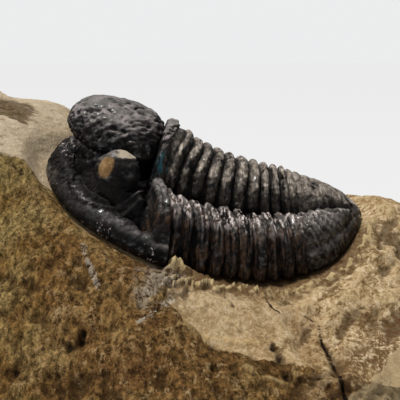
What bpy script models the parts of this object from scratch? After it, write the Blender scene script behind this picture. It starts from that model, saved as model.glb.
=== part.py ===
"""A trilobite fossil on a block of limestone, built as two faceted solids.

`trilobite` is one closed shell: head, thorax and tail run into each other on one grid of rows
(front to back) and columns (side to side).  `matrix` is the stone under it.  The animal faces -X.
All working lengths are in millimetres; the finished meshes are in metres, +Z up, base at z = 0.
"""
import bpy
import numpy as np

MM = 0.001

# the animal, in its own flat frame: x from the front edge back, y sideways, z up from its margin
HEAD_LENGTH, HEAD_HALF_WIDTH = 10.6, 9.7
HEAD_ROUNDNESS = 2.0             # exponent of the head's outline, 2 would be an ellipse
GENAL_SWEEP = 1.4                # how far the two back corners of the head reach behind its middle
BORDER_WIDTH, BORDER_HEIGHT, BORDER_FURROW = 1.5, 1.9, 0.95
FRONT_LIFT = 0.8                 # extra height of the border at the very front
CHEEK_HEIGHT = 3.4
CHEEK_RISE = 1.5                 # width of the slope from the border's furrow up to the cheek
# the two swellings: centre, half lengths (front, back), half width, height of the widest part,
# rise above it, drop below it, angle from the top down to the foot of the overhang, upward tilt to the
# back, and the width of the skirt in which the foot runs out, as a share of the half lengths
GLABELLA = dict(centre=(5.05, 0.0), front=4.85, back=4.1, half_width=4.3, widest=5.6, rise=3.4, drop=1.2,
                sweep=2.3, tilt=0.27, skirt=0.18)
EYE = dict(centre=(5.8, 5.0), front=1.9, back=1.85, half_width=1.45, widest=4.1, rise=2.0, drop=2.1,
           sweep=2.0, tilt=0.05, skirt=0.25)
SOCLE = 0.50                     # height of the thin ridge round the foot of the eye
OCCIPITAL_LENGTH, OCCIPITAL_HALF_WIDTH, OCCIPITAL_FOOT, OCCIPITAL_RISE = 1.45, 4.0, 3.8, 5.2
OCCIPITAL_LEAN = 0.9             # how far the ring's crown leans forward over the glabella's back
# the band along the back edge: length, height, where it turns down
BACK_BAND, BACK_BAND_HEIGHT, BACK_SHOULDER = 1.1, 4.5, 5.2
SEGMENTS = 10
THORAX_LENGTH, TAIL_LENGTH = 12.5, 7.1
# front and back values along the thorax
AXIS_HALF_WIDTH = (3.9, 3.1)
HALF_WIDTH = (8.6, 6.5)
AXIS_HEIGHT = (8.35, 6.25)
FURROW_HEIGHT = (3.7, 3.6)
TAIL_TAPER = 1.8                 # 1 makes the tail's outline an ellipse, more makes it pointed
FULCRUM_SHARE = 0.40             # how far out the side lobes stay level before they turn down
PLEURAL_SWEEP = (0.9, 1.1)       # how far the side lobes' ends lie behind their middles
RING_RELIEF, HALF_RING_RELIEF = 0.55, 0.15
BAND_RELIEF, FRONT_BAND_RELIEF = 0.48, 0.30
RING_BOW, BOW_REACH = 0.8, 2.4   # how far the front rings' ends lie before their middles, how widely
# one segment's rows: groove, half ring, groove, then the ring's front and back shoulders
SEGMENT_STEPS = (0.0, 0.12, 0.25, 0.45, 0.85)
AXIS_COLUMN, FULCRUM_COLUMN = 0.36, 0.62
SIDE_COLUMNS = (0.05, 0.10, 0.15, 0.20, 0.25, 0.295, 0.33, 0.365, 0.405, 0.45, 0.50, 0.55, 0.62, 0.70, 0.78,
                0.87, 0.95, 1.0)

# how the animal lies on the stone
PIVOT = 13.8                     # the x that comes to rest over the stone's centre
SLOPES = (23.9, 16.0, 8.0, -25.0)              # degrees nose up, from the head to the tail
SLOPE_SPANS = ((6.3, 14.3), (11.3, 20.3), (18.0, 30.0))
FRONT_ARCH = 1.0                 # how far the very front of the margin is arched up
ROLL, TWIST, TWIST_SPAN = 7.9, 3.5, (5.0, 25.0)
REST_HEIGHT = 13.0               # height of the animal's margin over the stone's base, at the pivot

# the stone
STONE_LENGTH, STONE_WIDTH = 59.0, 47.0
POCKET_GAP = 0.36                # clearance under the shell
POCKET_MARGIN = 1.2              # how far the pocket's floor carries on beyond the shell
POCKET_BLEND = 6.0               # over this distance it runs into the stone's own surface
FRONT_LIP = 1.3                  # height of the stone banked up against the head's front edge
# corners of its plan outlines, round the stone from its left end by the far side
RIM = ((-28, 4), (-25.5, 12), (-17, 18.5), (-5, 20), (6, 21.5), (18, 18.5), (26, 11), (28, 1), (25.5, -10),
       (21.5, -15.5), (14, -17.3), (7, -15.6), (1, -14.3), (-2.6, -11.5), (-6.6, -9.7), (-10.0, -7.4),
       (-13.0, -4.8), (-17, -4.2), (-23, -5.0), (-27, -3))
FOOT = ((-29.5, 1), (-27, 14), (-17, 20.5), (-8, 22), (5, 23.5), (19, 20.5), (28, 11), (29.5, -3), (26, -16),
        (15, -22), (4, -23.5), (-8, -21.5), (-19, -18.5), (-25, -12.5), (-28.5, -7))
CORNER_EASING = (-4, -2, 0, 2, 4)                # degrees either side that a corner is averaged over
WALL_WAVE = 0.05                 # depth of the hollows between the wall's bulges, as a share of its radius
WIDEST_STEP, UNDERCUT = 0.9, 0.03         # where the wall is widest, and how far it draws in to its base
TOP_WAVE = 0.45                  # height of the stone's gentle ups and downs

HEAD_ROWS, TAIL_ROWS, UNDER_COLUMNS = 34, 12, 4
STONE_SPOKES = 54
TOP_RINGS = 13
WALL_STEPS = (0.0, 0.06, 0.22, 0.42, 0.62, 0.8, WIDEST_STEP, 1.0)


def smooth(start, end, x):
    """0 before start, 1 after end, an S curve between."""
    t = np.clip((x - start) / (end - start), 0, 1)
    return t * t * (3 - 2 * t)


def bump(x, centre, width):
    """A rounded hump of height 1."""
    return np.exp(-((x - centre) / width) ** 2)


def mix(a, b, t):
    return a + (b - a) * t


def arc(t):
    """A quarter circle's height, rising steeply from 0 at t = 0 to 1 at t = 1."""
    return np.sqrt(np.clip(1 - (1 - np.clip(t, 0, 1)) ** 2, 0, 1))


def ridge(step, start, end, sharpness=0.6):
    """A rounded ridge across start..end of a segment, 0 outside it."""
    return np.clip(np.sin(np.pi * np.clip((step - start) / (end - start), 0, 1)), 0, 1) ** sharpness


def swell(x, y, z, lump):
    """Draw the grid lines inside a lump's foot up into a dome that bulges out over its foot."""
    dx = x - lump['centre'][0]
    half_length = np.where(dx < 0, lump['front'], lump['back'])
    dx, dy = dx / half_length, (y - lump['centre'][1]) / lump['half_width']
    r, foot = np.hypot(dx, dy), np.sin(lump['sweep'])
    angle = np.minimum(r / foot, 1) * lump['sweep']
    spread = np.where(r < foot, np.sin(angle) / np.maximum(r, 1e-6), 1)
    dome = lump['widest'] + np.where(angle < np.pi / 2, lump['rise'], lump['drop']) * np.cos(angle)
    dome = dome + lump['tilt'] * half_length * dx
    x = lump['centre'][0] + half_length * spread * dx
    y = lump['centre'][1] + lump['half_width'] * spread * dy
    return x, y, mix(dome, z, smooth(foot, foot + lump['skirt'], r))


def head(turns, columns):
    """The head shield: rows by angle round its outline, a rolled border, cheeks, eyes, glabella, ring."""
    turn, column = np.meshgrid(turns, columns, indexing='ij')
    across = 0.55 * np.abs(column) + 0.45 * np.sin(np.pi / 2 * np.abs(column))
    n = HEAD_ROUNDNESS
    x = HEAD_LENGTH * (1 - np.clip(np.cos(turn), 0, 1) ** (2 / n))
    y = HEAD_HALF_WIDTH * np.sin(turn) ** (2 / n) * across
    to_back = HEAD_LENGTH - x
    # distance in from the outline, along the line to the middle of the back edge
    rho = np.maximum(((to_back / HEAD_LENGTH) ** n + (y / HEAD_HALF_WIDTH) ** n) ** (1 / n), 1e-6)
    inset = np.minimum(np.hypot(to_back, y) * (1 / rho - 1), HEAD_LENGTH)
    lift = FRONT_LIFT * smooth(5.0, 0.5, x) * smooth(0, 0.5, inset)
    border = 0.25 * arc(inset / 0.3) + 0.75 * arc(inset / 1.3)
    z = BORDER_HEIGHT * border + lift - BORDER_FURROW * smooth(1.5, BORDER_WIDTH, inset)
    cheek = smooth(BORDER_WIDTH, BORDER_WIDTH + CHEEK_RISE, inset)
    z = z + (CHEEK_HEIGHT - BORDER_HEIGHT + BORDER_FURROW) * cheek
    turned = np.clip((y - BACK_SHOULDER) / (HEAD_HALF_WIDTH - BACK_SHOULDER), 0, 1)
    band = (BACK_BAND_HEIGHT + 0.3 * bump(to_back, BACK_BAND / 2, 0.4)) * np.sqrt(1 - turned ** 2)
    band = band * arc(inset / 1.6)
    z = z - 0.5 * bump(to_back, BACK_BAND + 0.6, 0.4) * smooth(3.6, 4.4, y) * smooth(0.3, 1.8, inset)
    z = mix(z, np.maximum(z, band), smooth(BACK_BAND + 0.3, BACK_BAND - 0.2, to_back) * smooth(3.4, 4.2, y))
    round_eye = np.hypot((x - EYE['centre'][0]) / EYE['front'], (y - EYE['centre'][1]) / EYE['half_width'])
    z = z + SOCLE * bump(round_eye, 1.4, 0.12) * smooth(4.0, 5.5, y)
    x = x + GENAL_SWEEP * (y / HEAD_HALF_WIDTH) ** 3 * (x / HEAD_LENGTH) ** 3
    x, y, z = swell(x, y, z, EYE)
    x, y, z = swell(x, y, z, GLABELLA)
    arch = np.sqrt(np.clip(1 - (y / (OCCIPITAL_HALF_WIDTH + 0.2)) ** 2, 0, 1))
    crown = (OCCIPITAL_FOOT + OCCIPITAL_RISE * arch) * (1 - 0.07 * (2 * to_back / OCCIPITAL_LENGTH - 1) ** 4)
    on_ring = smooth(OCCIPITAL_LENGTH + 0.2, OCCIPITAL_LENGTH - 0.05, to_back)
    on_ring = on_ring * (1 - smooth(OCCIPITAL_HALF_WIDTH - 0.5, OCCIPITAL_HALF_WIDTH + 0.2, y))
    x = x - OCCIPITAL_LEAN * on_ring * smooth(0.3, 1, arch)
    return x, y * np.sign(column), mix(z, crown, on_ring)


def section(t, axis_edge, fulcrum, edge, axis_top, furrow, fulcrum_height):
    """Half a cross section: the arched axis, a level shoulder, then a quarter ellipse to the margin."""
    up = np.clip(t / AXIS_COLUMN, 0, 1) * np.pi / 2
    out = np.clip((t - AXIS_COLUMN) / (FULCRUM_COLUMN - AXIS_COLUMN), 0, 1)
    down = np.clip((t - FULCRUM_COLUMN) / (1 - FULCRUM_COLUMN), 0, 1) * np.pi / 2
    y = np.where(t < AXIS_COLUMN, axis_edge * np.sin(up) ** 0.9,
                 np.where(t < FULCRUM_COLUMN, mix(axis_edge, fulcrum, out), mix(fulcrum, edge, np.sin(down))))
    z = np.where(t < AXIS_COLUMN, mix(furrow, axis_top, np.cos(up) ** 0.8),
                 np.where(t < FULCRUM_COLUMN, mix(furrow, fulcrum_height, np.sin(out * np.pi / 2)),
                          fulcrum_height * np.cos(down)))
    return y, z


def raise_relief(y, z, relief):
    """Push a cross section's points out along its own normals."""
    dy, dz = np.gradient(y, axis=1), np.gradient(z, axis=1)
    length = np.hypot(dy, dz) + 1e-9
    outward = np.where(np.gradient(y, axis=1) < 0, -1, 1)
    return y - outward * dz / length * relief, z + outward * dy / length * relief


def thorax(steps, columns):
    """Ten segments in a row, each an axial ring with its half ring and two pleural bands a side."""
    number = np.repeat(np.arange(SEGMENTS), len(steps))
    along, column = np.meshgrid(number + np.tile(steps, SEGMENTS), columns, indexing='ij')
    step, share, t = along % 1, along / SEGMENTS, np.abs(column)
    axis_edge, edge = mix(*AXIS_HALF_WIDTH, share), mix(*HALF_WIDTH, share ** 3)
    furrow = mix(*FURROW_HEIGHT, share)
    tips = 0.45 * smooth(0.7, 1.0, t) * (1 - ridge(step, 0, 1))
    y, z = section(t, axis_edge, mix(axis_edge, edge, FULCRUM_SHARE), edge - tips,
                   mix(*AXIS_HEIGHT, share ** 0.5), furrow, furrow + 0.25)
    ring = HALF_RING_RELIEF * ridge(step, 0, 0.24) + RING_RELIEF * ridge(step, 0.2, 1, 0.45)
    band = FRONT_BAND_RELIEF * ridge(step, 0, 0.42) + BAND_RELIEF * ridge(step, 0.46, 1)
    relief = mix(ring, band, smooth(AXIS_COLUMN - 0.03, AXIS_COLUMN + 0.01, t))
    relief = relief * (1 - 0.35 * smooth(0.75, 1, t))
    relief = relief * (0.25 + 0.75 * smooth(0, 0.035, np.abs(t - AXIS_COLUMN - 0.005)))
    y, z = raise_relief(y, z, relief)
    swept = mix(*PLEURAL_SWEEP, share) * smooth(AXIS_COLUMN, 1, t) ** 1.2
    return HEAD_LENGTH + along * THORAX_LENGTH / SEGMENTS + swept, y * np.sign(column), z


def tail(turns, columns):
    """The tail shield: a half ellipse with a tapering ringed axis and ribs that fade outwards."""
    turn, column = np.meshgrid(turns, columns, indexing='ij')
    t, share = np.abs(column), np.sin(turn)
    edge = HALF_WIDTH[1] * np.clip(np.cos(turn), 0, 1) ** TAIL_TAPER
    axis_edge = np.minimum(AXIS_HALF_WIDTH[1] * (1 - 0.62 * share), edge * 0.9)
    shell = np.sqrt(np.clip(1 - share ** 4, 0, 1))
    furrow = FURROW_HEIGHT[1] * (1 - 0.25 * share) * shell
    axis_top = AXIS_HEIGHT[1] * (1 - 0.25 * share - 0.1 * share ** 2) * shell
    y, z = section(t, axis_edge, mix(axis_edge, edge, 0.5), edge, axis_top, furrow, furrow * 1.04)
    back = TAIL_LENGTH * share
    rings = 0.42 * np.abs(np.sin(np.pi * back / 0.86)) ** 0.7 * (1 - smooth(0.1, 0.8, share))
    ribs = 0.34 * np.abs(np.sin(np.pi * (back - 0.75 * np.maximum(y - axis_edge, 0) + 0.6) / 1.05)) ** 0.7
    ribs = ribs * (1 - smooth(0.15, 0.75, share)) * (1 - smooth(0.7, 0.85, t))
    relief = mix(rings, ribs, smooth(AXIS_COLUMN - 0.03, AXIS_COLUMN + 0.01, t))
    relief = relief * smooth(0, 0.035, np.abs(t - AXIS_COLUMN - 0.005)) * np.clip(np.cos(turn), 0, 1) ** 0.3
    y, z = raise_relief(y, z, relief)
    swept = PLEURAL_SWEEP[1] * smooth(AXIS_COLUMN, 1, t) ** 1.2 * (1 - share)
    return HEAD_LENGTH + THORAX_LENGTH + back + swept, y * np.sign(column), z


# the line the animal's margin plane follows, stepped along its length
LINE_X = np.linspace(-30, 60, 1801)
LINE_SLOPE = np.radians(SLOPES[0] + sum((after - before) * smooth(*span, LINE_X) for before, after, span
                                        in zip(SLOPES, SLOPES[1:], SLOPE_SPANS)))
LINE_STEP = LINE_X[1] - LINE_X[0]
LINE_ALONG = np.cumsum(np.cos(LINE_SLOPE)) * LINE_STEP
LINE_ALONG = LINE_ALONG - np.interp(PIVOT, LINE_X, LINE_ALONG)
LINE_HEIGHT = -np.cumsum(np.sin(LINE_SLOPE)) * LINE_STEP
LINE_HEIGHT = LINE_HEIGHT - np.interp(PIVOT, LINE_X, LINE_HEIGHT) + REST_HEIGHT
LINE_HEIGHT = LINE_HEIGHT + FRONT_ARCH * smooth(4.5, -1.5, LINE_X)


def roll_at(x):
    """How far the animal leans over to its far side, more towards the tail."""
    return np.radians(ROLL + TWIST * smooth(*TWIST_SPAN, x))


def place(x, y, z):
    """Take the animal's flat frame to the stone's: bend it along the line, then roll it over."""
    slope, roll = np.interp(x, LINE_X, LINE_SLOPE), roll_at(x)
    rise = z * np.cos(slope)
    return (np.interp(x, LINE_X, LINE_ALONG) + z * np.sin(slope), y * np.cos(roll) - rise * np.sin(roll),
            np.interp(x, LINE_X, LINE_HEIGHT) + y * np.sin(roll) + rise * np.cos(roll))


def unplace(x, y):
    """The margin plane's own x, y and its height over a plan position."""
    own_x = np.interp(x, LINE_ALONG, LINE_X)
    own_y = y / np.cos(roll_at(own_x))
    return own_x, own_y, np.interp(own_x, LINE_X, LINE_HEIGHT) + own_y * np.sin(roll_at(own_x))


def shell_grid():
    """Rows of the whole animal's upper surface, front tip to tail tip."""
    columns = np.concatenate((-np.array(SIDE_COLUMNS[::-1]), (0,), SIDE_COLUMNS))
    share = np.linspace(0, 1, HEAD_ROWS)
    turns = np.pi / 2 * (share - 0.09 * np.sin(2 * np.pi * share))
    blocks = (head(turns, columns), thorax(SEGMENT_STEPS, columns),
              tail(np.linspace(0, np.pi / 2, TAIL_ROWS), columns))
    x, y, z = (np.concatenate(axis) for axis in zip(*blocks))
    bowed = bump(np.abs(y), AXIS_HALF_WIDTH[0], BOW_REACH) * smooth(7.5, HEAD_LENGTH, x) * smooth(20, 12, x)
    return np.stack(place(x - RING_BOW * bowed, y, z), axis=-1)


def margin_distance(x, y):
    """Plan distance from the animal's margin, 0 inside it."""
    column = np.linspace(0.9, 1, 3)
    blocks = (head(np.linspace(0, np.pi / 2, 40), column), thorax(np.linspace(0, 0.9, 4), column),
              tail(np.linspace(0, np.pi / 2, 30), column))
    edge_x, edge_y = (np.concatenate(axis)[:, -1] for axis in list(zip(*blocks))[:2])
    own_x, own_y, _ = unplace(x, y)
    gap = np.min(np.hypot(own_x[..., None] - edge_x, np.abs(own_y)[..., None] - edge_y), axis=-1)
    inside = np.abs(own_y) < np.interp(own_x, edge_x, edge_y, left=0, right=0)
    return np.where(inside, 0, gap)


def stone_surface(x, y):
    """The stone's upper surface: a pocket following the animal, a shoulder behind the head, a front slope."""
    own = REST_HEIGHT + 1.9 - 0.06 * x + 6.0 * smooth(-3, -17, x)
    own = own + np.where(y > 0, (0.2 * smooth(0, -14, x) - 0.03) * y, 0.48 * y)
    own = own - 0.09 * np.maximum(y - 9, 0) ** 1.5 - 0.05 * np.maximum(np.abs(x) - 20, 0) ** 1.5
    own = own - 0.8 * bump(x, 4, 6) * bump(y, -11.5, 2.5) + 0.7 * bump(x, -19, 5) * bump(y, 9, 5)
    own = own + 1.6 * bump(x, -18, 4) * bump(y, -5, 4)
    own = own + TOP_WAVE * np.sin(0.37 * x + 0.9) * np.sin(0.45 * y + 0.4)
    away = margin_distance(x, y)
    pocket = unplace(x, y)[2] - POCKET_GAP + FRONT_LIP * smooth(0.6, 2.2, away) * smooth(-9, -13, x)
    return mix(pocket, own, smooth(POCKET_MARGIN, POCKET_MARGIN + POCKET_BLEND, away))


def outline(corners, angles):
    """Radius of a straight-edged plan outline by angle, its corners eased."""
    corners = np.array(corners, float)
    around = np.mod(np.arctan2(corners[:, 1], corners[:, 0]), 2 * np.pi)
    corners, around = corners[np.argsort(around)], np.sort(around)
    radii = []
    for turn in np.radians(CORNER_EASING):
        angle = np.mod(angles + turn, 2 * np.pi)
        end = np.searchsorted(around, angle) % len(corners)
        (start_x, start_y), (edge_x, edge_y) = corners[end - 1].T, (corners[end] - corners[end - 1]).T
        across = np.cos(angle) * edge_y - np.sin(angle) * edge_x
        radii.append((start_x * edge_y - start_y * edge_x) / across)
    return np.mean(radii, axis=0)


def wall_wave(angle, step):
    """Bulges and hollows round the wall, none at the rim or at its widest ring."""
    wave = 0.5 * np.sin(3 * angle + 0.6) + 0.35 * np.sin(5 * angle + 2.1)
    wave = wave + 0.25 * np.sin(8 * angle + 1 + 3 * step)
    return 1 + WALL_WAVE * (wave - 1) * np.sin(np.pi * np.clip(step / WIDEST_STEP, 0, 1))


def stone_grid():
    """Rings of the stone's skin: out over the top, down the wall to the foot."""
    angles = np.linspace(0, 2 * np.pi, STONE_SPOKES, endpoint=False)
    direction = np.stack((np.cos(angles), np.sin(angles)), axis=-1)
    rim, foot = outline(RIM, angles)[:, None] * direction, outline(FOOT, angles)[:, None] * direction
    size = np.array((STONE_LENGTH, STONE_WIDTH))
    foot = (foot - foot.min(axis=0)) / np.ptp(foot, axis=0) * size - size / 2
    share = np.linspace(0, 1, TOP_RINGS + 1)[1:, None, None]
    top = share * rim
    step = np.array(WALL_STEPS[1:])[:, None]
    down, under = np.clip(step / WIDEST_STEP, 0, 1), np.clip((step - WIDEST_STEP) / (1 - WIDEST_STEP), 0, 1)
    plan = mix(rim, foot, down[..., None] ** 0.8) * wall_wave(angles, step)[..., None]
    plan = plan * (1 - UNDERCUT * under)[..., None]
    top_height = stone_surface(top[..., 0], top[..., 1])
    height = np.concatenate((top_height, top_height[-1] * (1 - step ** 1.25)))
    return np.dstack((np.concatenate((top, plan)), height))


def make_object(name, vertices, faces, colour, roughness):
    """A mesh object with its own material, from vertex rows and triangles of their numbers."""
    used, numbers = np.unique(np.concatenate(faces), return_inverse=True)
    mesh = bpy.data.meshes.new(name)
    mesh.from_pydata((vertices[used] * MM).tolist(), [], numbers.reshape(-1, 3).tolist())
    mesh.validate()
    material = bpy.data.materials.new(name)
    material.use_nodes = True
    shader = material.node_tree.nodes['Principled BSDF']
    shader.inputs['Base Color'].default_value = (*colour, 1)
    shader.inputs['Roughness'].default_value = roughness
    mesh.materials.append(material)
    bpy.context.scene.collection.objects.link(bpy.data.objects.new(name, mesh))


def quads(index):
    """Triangle pairs over a grid of vertex numbers, those that fold flat left out."""
    corners = np.stack((index[:-1, :-1], index[1:, :-1], index[1:, 1:], index[:-1, 1:]), axis=-1)
    corners = corners.reshape(-1, 4)
    triangles = np.concatenate((corners[:, (0, 1, 2)], corners[:, (0, 2, 3)]))
    whole = (triangles != np.roll(triangles, 1, axis=1)).all(axis=1)
    return triangles[whole]


def build_trilobite():
    """The upper grid closed by an underside strung straight between its two margins."""
    upper = shell_grid()
    rows, columns = upper.shape[:2]
    share = np.linspace(0, 1, UNDER_COLUMNS)[1:-1, None]
    under = upper[:, :1] * (1 - share) + upper[:, -1:] * share
    numbers = np.arange(rows * columns).reshape(rows, columns)
    numbers[0], numbers[-1] = numbers[0, 0], numbers[-1, 0]
    under_numbers = rows * columns + np.arange(rows * (UNDER_COLUMNS - 2)).reshape(rows, -1)
    under_numbers = np.concatenate((numbers[:, -1:], under_numbers[:, ::-1], numbers[:, :1]), axis=1)
    under_numbers[0], under_numbers[-1] = numbers[0, 0], numbers[-1, 0]
    vertices = np.concatenate((upper.reshape(-1, 3), under.reshape(-1, 3)))
    make_object('trilobite', vertices, (quads(numbers), quads(under_numbers)), (0.03, 0.03, 0.032), 0.45)


def build_matrix():
    """The stone's rings closed by a fan at the top's middle and one across its flat base."""
    rings = stone_grid()
    count, spokes = rings.shape[:2]
    numbers = np.arange(count * spokes).reshape(count, spokes)
    numbers = np.concatenate((numbers, numbers[:, :1]), axis=1)
    middle = np.array([[0, 0, float(stone_surface(np.zeros(1), np.zeros(1))[0])], [0, 0, 0]])
    top, base = count * spokes, count * spokes + 1
    top_fan = np.stack((np.full(spokes, top), numbers[0, :-1], numbers[0, 1:]), axis=-1)
    base_fan = np.stack((np.full(spokes, base), numbers[-1, 1:], numbers[-1, :-1]), axis=-1)
    vertices = np.concatenate((rings.reshape(-1, 3), middle))
    make_object('matrix', vertices, (quads(numbers), top_fan, base_fan), (0.42, 0.33, 0.20), 0.9)


for leftover in list(bpy.data.objects):
    bpy.data.objects.remove(leftover, do_unlink=True)
build_trilobite()
build_matrix()
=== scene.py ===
"""The dressed trilobite and its stone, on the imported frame.

Both pieces repeat the solids' own formulas on finer grids, then push each point along its surface's
normal by reliefs made of lattice noise.  Working lengths are millimetres, in the CAD's frame.
"""
import itertools
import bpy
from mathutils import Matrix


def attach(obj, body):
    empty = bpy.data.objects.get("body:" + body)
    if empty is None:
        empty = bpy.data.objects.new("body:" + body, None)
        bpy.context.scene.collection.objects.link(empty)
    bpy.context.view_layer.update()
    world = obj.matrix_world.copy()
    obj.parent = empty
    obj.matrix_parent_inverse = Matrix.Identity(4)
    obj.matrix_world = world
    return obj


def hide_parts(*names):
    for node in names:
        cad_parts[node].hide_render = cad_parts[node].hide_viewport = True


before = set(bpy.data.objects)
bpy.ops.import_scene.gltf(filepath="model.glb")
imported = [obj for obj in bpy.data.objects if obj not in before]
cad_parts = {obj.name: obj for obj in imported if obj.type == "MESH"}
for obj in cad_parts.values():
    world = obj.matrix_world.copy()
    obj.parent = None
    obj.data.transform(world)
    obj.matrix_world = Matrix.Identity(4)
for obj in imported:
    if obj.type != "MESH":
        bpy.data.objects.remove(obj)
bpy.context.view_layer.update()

from types import SimpleNamespace
import bpy
import numpy as np
from mathutils import Vector

MM = 0.001

# the animal, in its own flat frame: x from the front edge back, y sideways, z up from its margin
HEAD_LENGTH, HEAD_HALF_WIDTH = 10.6, 9.7
HEAD_ROUNDNESS = 2.0             # exponent of the head's outline, 2 is an ellipse
COLUMN_EASING = 0.45             # share of the sine in the spacing of the head's columns
GENAL_SWEEP = 1.4                # how far the two back corners of the head reach behind its middle
BORDER_WIDTH, BORDER_HEIGHT, BORDER_FURROW = 1.5, 1.9, 0.95
# the border rises by this share of its height over its edge, and by the rest over its roll
BORDER_EDGE_SHARE, BORDER_EDGE, BORDER_ROLL = 0.25, 0.3, 1.3
FRONT_LIFT = 0.8                 # extra height of the border at the very front
CHEEK_HEIGHT = 3.4
CHEEK_RISE = 1.5                 # width of the slope from the border's furrow up to the cheek
# the two swellings: centre, half lengths (front, back), half width, height of the widest part,
# rise above it, drop below it, angle from the top down to the foot of the overhang, upward tilt to
# the back, and the width of the skirt in which the foot runs out, as a share of the half lengths
GLABELLA = dict(centre=(5.05, 0.0), front=4.85, back=4.1, half_width=4.3, widest=5.6, rise=3.4,
                drop=1.2, sweep=2.3, tilt=0.27, skirt=0.18)
EYE = dict(centre=(5.8, 5.0), front=1.9, back=1.85, half_width=1.45, widest=4.1, rise=2.0,
           drop=2.1, sweep=2.0, tilt=0.05, skirt=0.25)
# the thin ridge round the foot of the eye: height, then radius and width in the eye's half widths
SOCLE, SOCLE_RADIUS, SOCLE_WIDTH = 0.50, 1.4, 0.12
OCCIPITAL_LENGTH, OCCIPITAL_HALF_WIDTH, OCCIPITAL_FOOT, OCCIPITAL_RISE = 1.45, 4.0, 3.8, 5.2
OCCIPITAL_LEAN = 0.9             # how far the ring's crown leans forward over the glabella's back
OCCIPITAL_DROOP = 0.07           # share of its height that the ring loses at its front and back
# the band along the back edge: length, height, where it turns down, its crown, the furrow before it
BACK_BAND, BACK_BAND_HEIGHT, BACK_SHOULDER, BACK_CROWN, BACK_FURROW = 1.1, 4.5, 5.2, 0.3, 0.5
SEGMENTS = 10
THORAX_LENGTH, TAIL_LENGTH = 12.5, 7.1
# front and back values along the thorax
AXIS_HALF_WIDTH = (3.9, 3.1)
HALF_WIDTH = (8.6, 6.5)
AXIS_HEIGHT = (8.35, 6.25)
FURROW_HEIGHT = (3.7, 3.6)
TAIL_TAPER = 1.8                 # 1 makes the tail's outline an ellipse, more makes it pointed
FULCRUM_SHARE = 0.40             # how far out the side lobes stay level before they turn down
PLEURAL_SWEEP = (0.9, 1.1)       # how far the side lobes' ends lie behind their middles
# heights of a segment's ridges, and where each starts and ends along it, with its sharpness
HALF_RING_RELIEF, RING_RELIEF, FRONT_BAND_RELIEF, BAND_RELIEF = 0.15, 0.55, 0.12, 0.48
HALF_RING, RING, FRONT_BAND, BAND = (0, 0.24), (0.2, 1, 0.45), (0, 0.32), (0.28, 1, 0.5)
TIP_NOTCH = 0.45                 # how far the side lobes' edge draws in between two bands
RING_BOW, BOW_REACH = 0.8, 2.4   # how far the front rings' ends lie before their middles, and the
                                 # half width of that bow at each end
AXIS_COLUMN, FULCRUM_COLUMN = 0.36, 0.62
TAIL_RING_RELIEF, TAIL_RING_SPACING = 0.34, 1.2
TAIL_RIB_RELIEF, TAIL_RIB_SPACING, TAIL_RIB_SLANT = 0.42, 1.05, 0.75

# how the animal lies on the stone
PIVOT = 13.8                     # the x that comes to rest over the stone's centre
SLOPES = (23.9, 16.0, 8.0, -25.0)              # degrees nose up, from the head to the tail
SLOPE_SPANS = ((6.3, 14.3), (11.3, 20.3), (18.0, 30.0))
FRONT_ARCH = 1.0                 # how far the very front of the margin is arched up
ROLL, TWIST, TWIST_SPAN = 7.9, 3.5, (5.0, 25.0)
REST_HEIGHT = 13.0               # height of the animal's margin over the stone's base, at the pivot

# the stone
STONE_LENGTH, STONE_WIDTH = 59.0, 47.0
POCKET_GAP = 0.36                # clearance under the shell
POCKET_MARGIN = 1.2              # how far the pocket's floor carries on beyond the shell
POCKET_BLEND = 6.0               # over this distance it runs into the stone's own surface
FRONT_LIP = 1.3                  # height of the stone banked up against the head's front edge
# the stone's own surface: rise over the rest height, falls along and across, the shoulder's rise
# behind the head and its tilt, and the slope of the near side
STONE_RISE, LENGTH_FALL, FAR_FALL = 1.9, 0.06, 0.03
SHOULDER_RISE, SHOULDER_TILT, NEAR_SLOPE = 6.0, 0.2, 0.48
# corners of its plan outlines, round the stone from its left end by the far side
RIM = ((-28, 4), (-25.5, 12), (-17, 18.5), (-5, 20), (6, 21.5), (18, 18.5), (26, 11), (28, 1),
       (25.5, -10), (21.5, -15.5), (14, -17.3), (7, -15.6), (1, -14.3), (-2.6, -11.5), (-6.6, -9.7),
       (-10.0, -7.4), (-13.0, -4.8), (-17, -4.2), (-23, -5.0), (-27, -3))
FOOT = ((-29.5, 1), (-27, 14), (-17, 20.5), (-8, 22), (5, 23.5), (19, 20.5), (28, 11), (29.5, -3),
        (26, -16), (15, -22), (4, -23.5), (-8, -21.5), (-19, -18.5), (-25, -12.5), (-28.5, -7))
CORNER_EASING = (-4, -2, 0, 2, 4)         # degrees either side that a corner is averaged over
WALL_WAVE = 0.05                 # depth of the hollows between the wall's bulges, as a share of radius
WIDEST_STEP, UNDERCUT = 0.9, 0.03         # where the wall is widest, how far it draws in below
TOP_WAVE = 0.45                  # height of the stone's gentle ups and downs

# how fine the dressed grids are
FINE_HEAD_ROWS, FINE_STEPS, FINE_TAIL_ROWS = 210, 14, 54
NEAR_COLUMNS, FAR_COLUMNS, UNDER_COLUMNS = 140, 92, 12
COLUMN_CROWDING = 1.4            # power that crowds the columns towards the animal's middle
FINE_SPOKES, NEAR_CROWDING = 620, 0.42    # spokes are crowded towards -Y by this share
FINE_TOP_RINGS, FINE_WALL_STEPS = 78, 72
FRONT = np.array((0.0, 0.977, -0.213))    # the way the stone's marks are looked at
FRONT_SQUASH = 0.85              # share by which distances along that way are shortened
TURN = np.array(((0.36, 0.48, -0.8), (-0.8, 0.6, 0.0), (0.48, 0.64, 0.6)))   # turn between octaves


def smooth(start, end, x):
    """0 before start, 1 after end, an S curve between."""
    t = np.clip((x - start) / (end - start), 0, 1)
    return t * t * (3 - 2 * t)


def bump(x, centre, width):
    """A rounded hump of height 1."""
    return np.exp(-((x - centre) / width) ** 2)


def mix(a, b, t):
    """a at t = 0, b at t = 1, in proportion between."""
    return a + (b - a) * t


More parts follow.
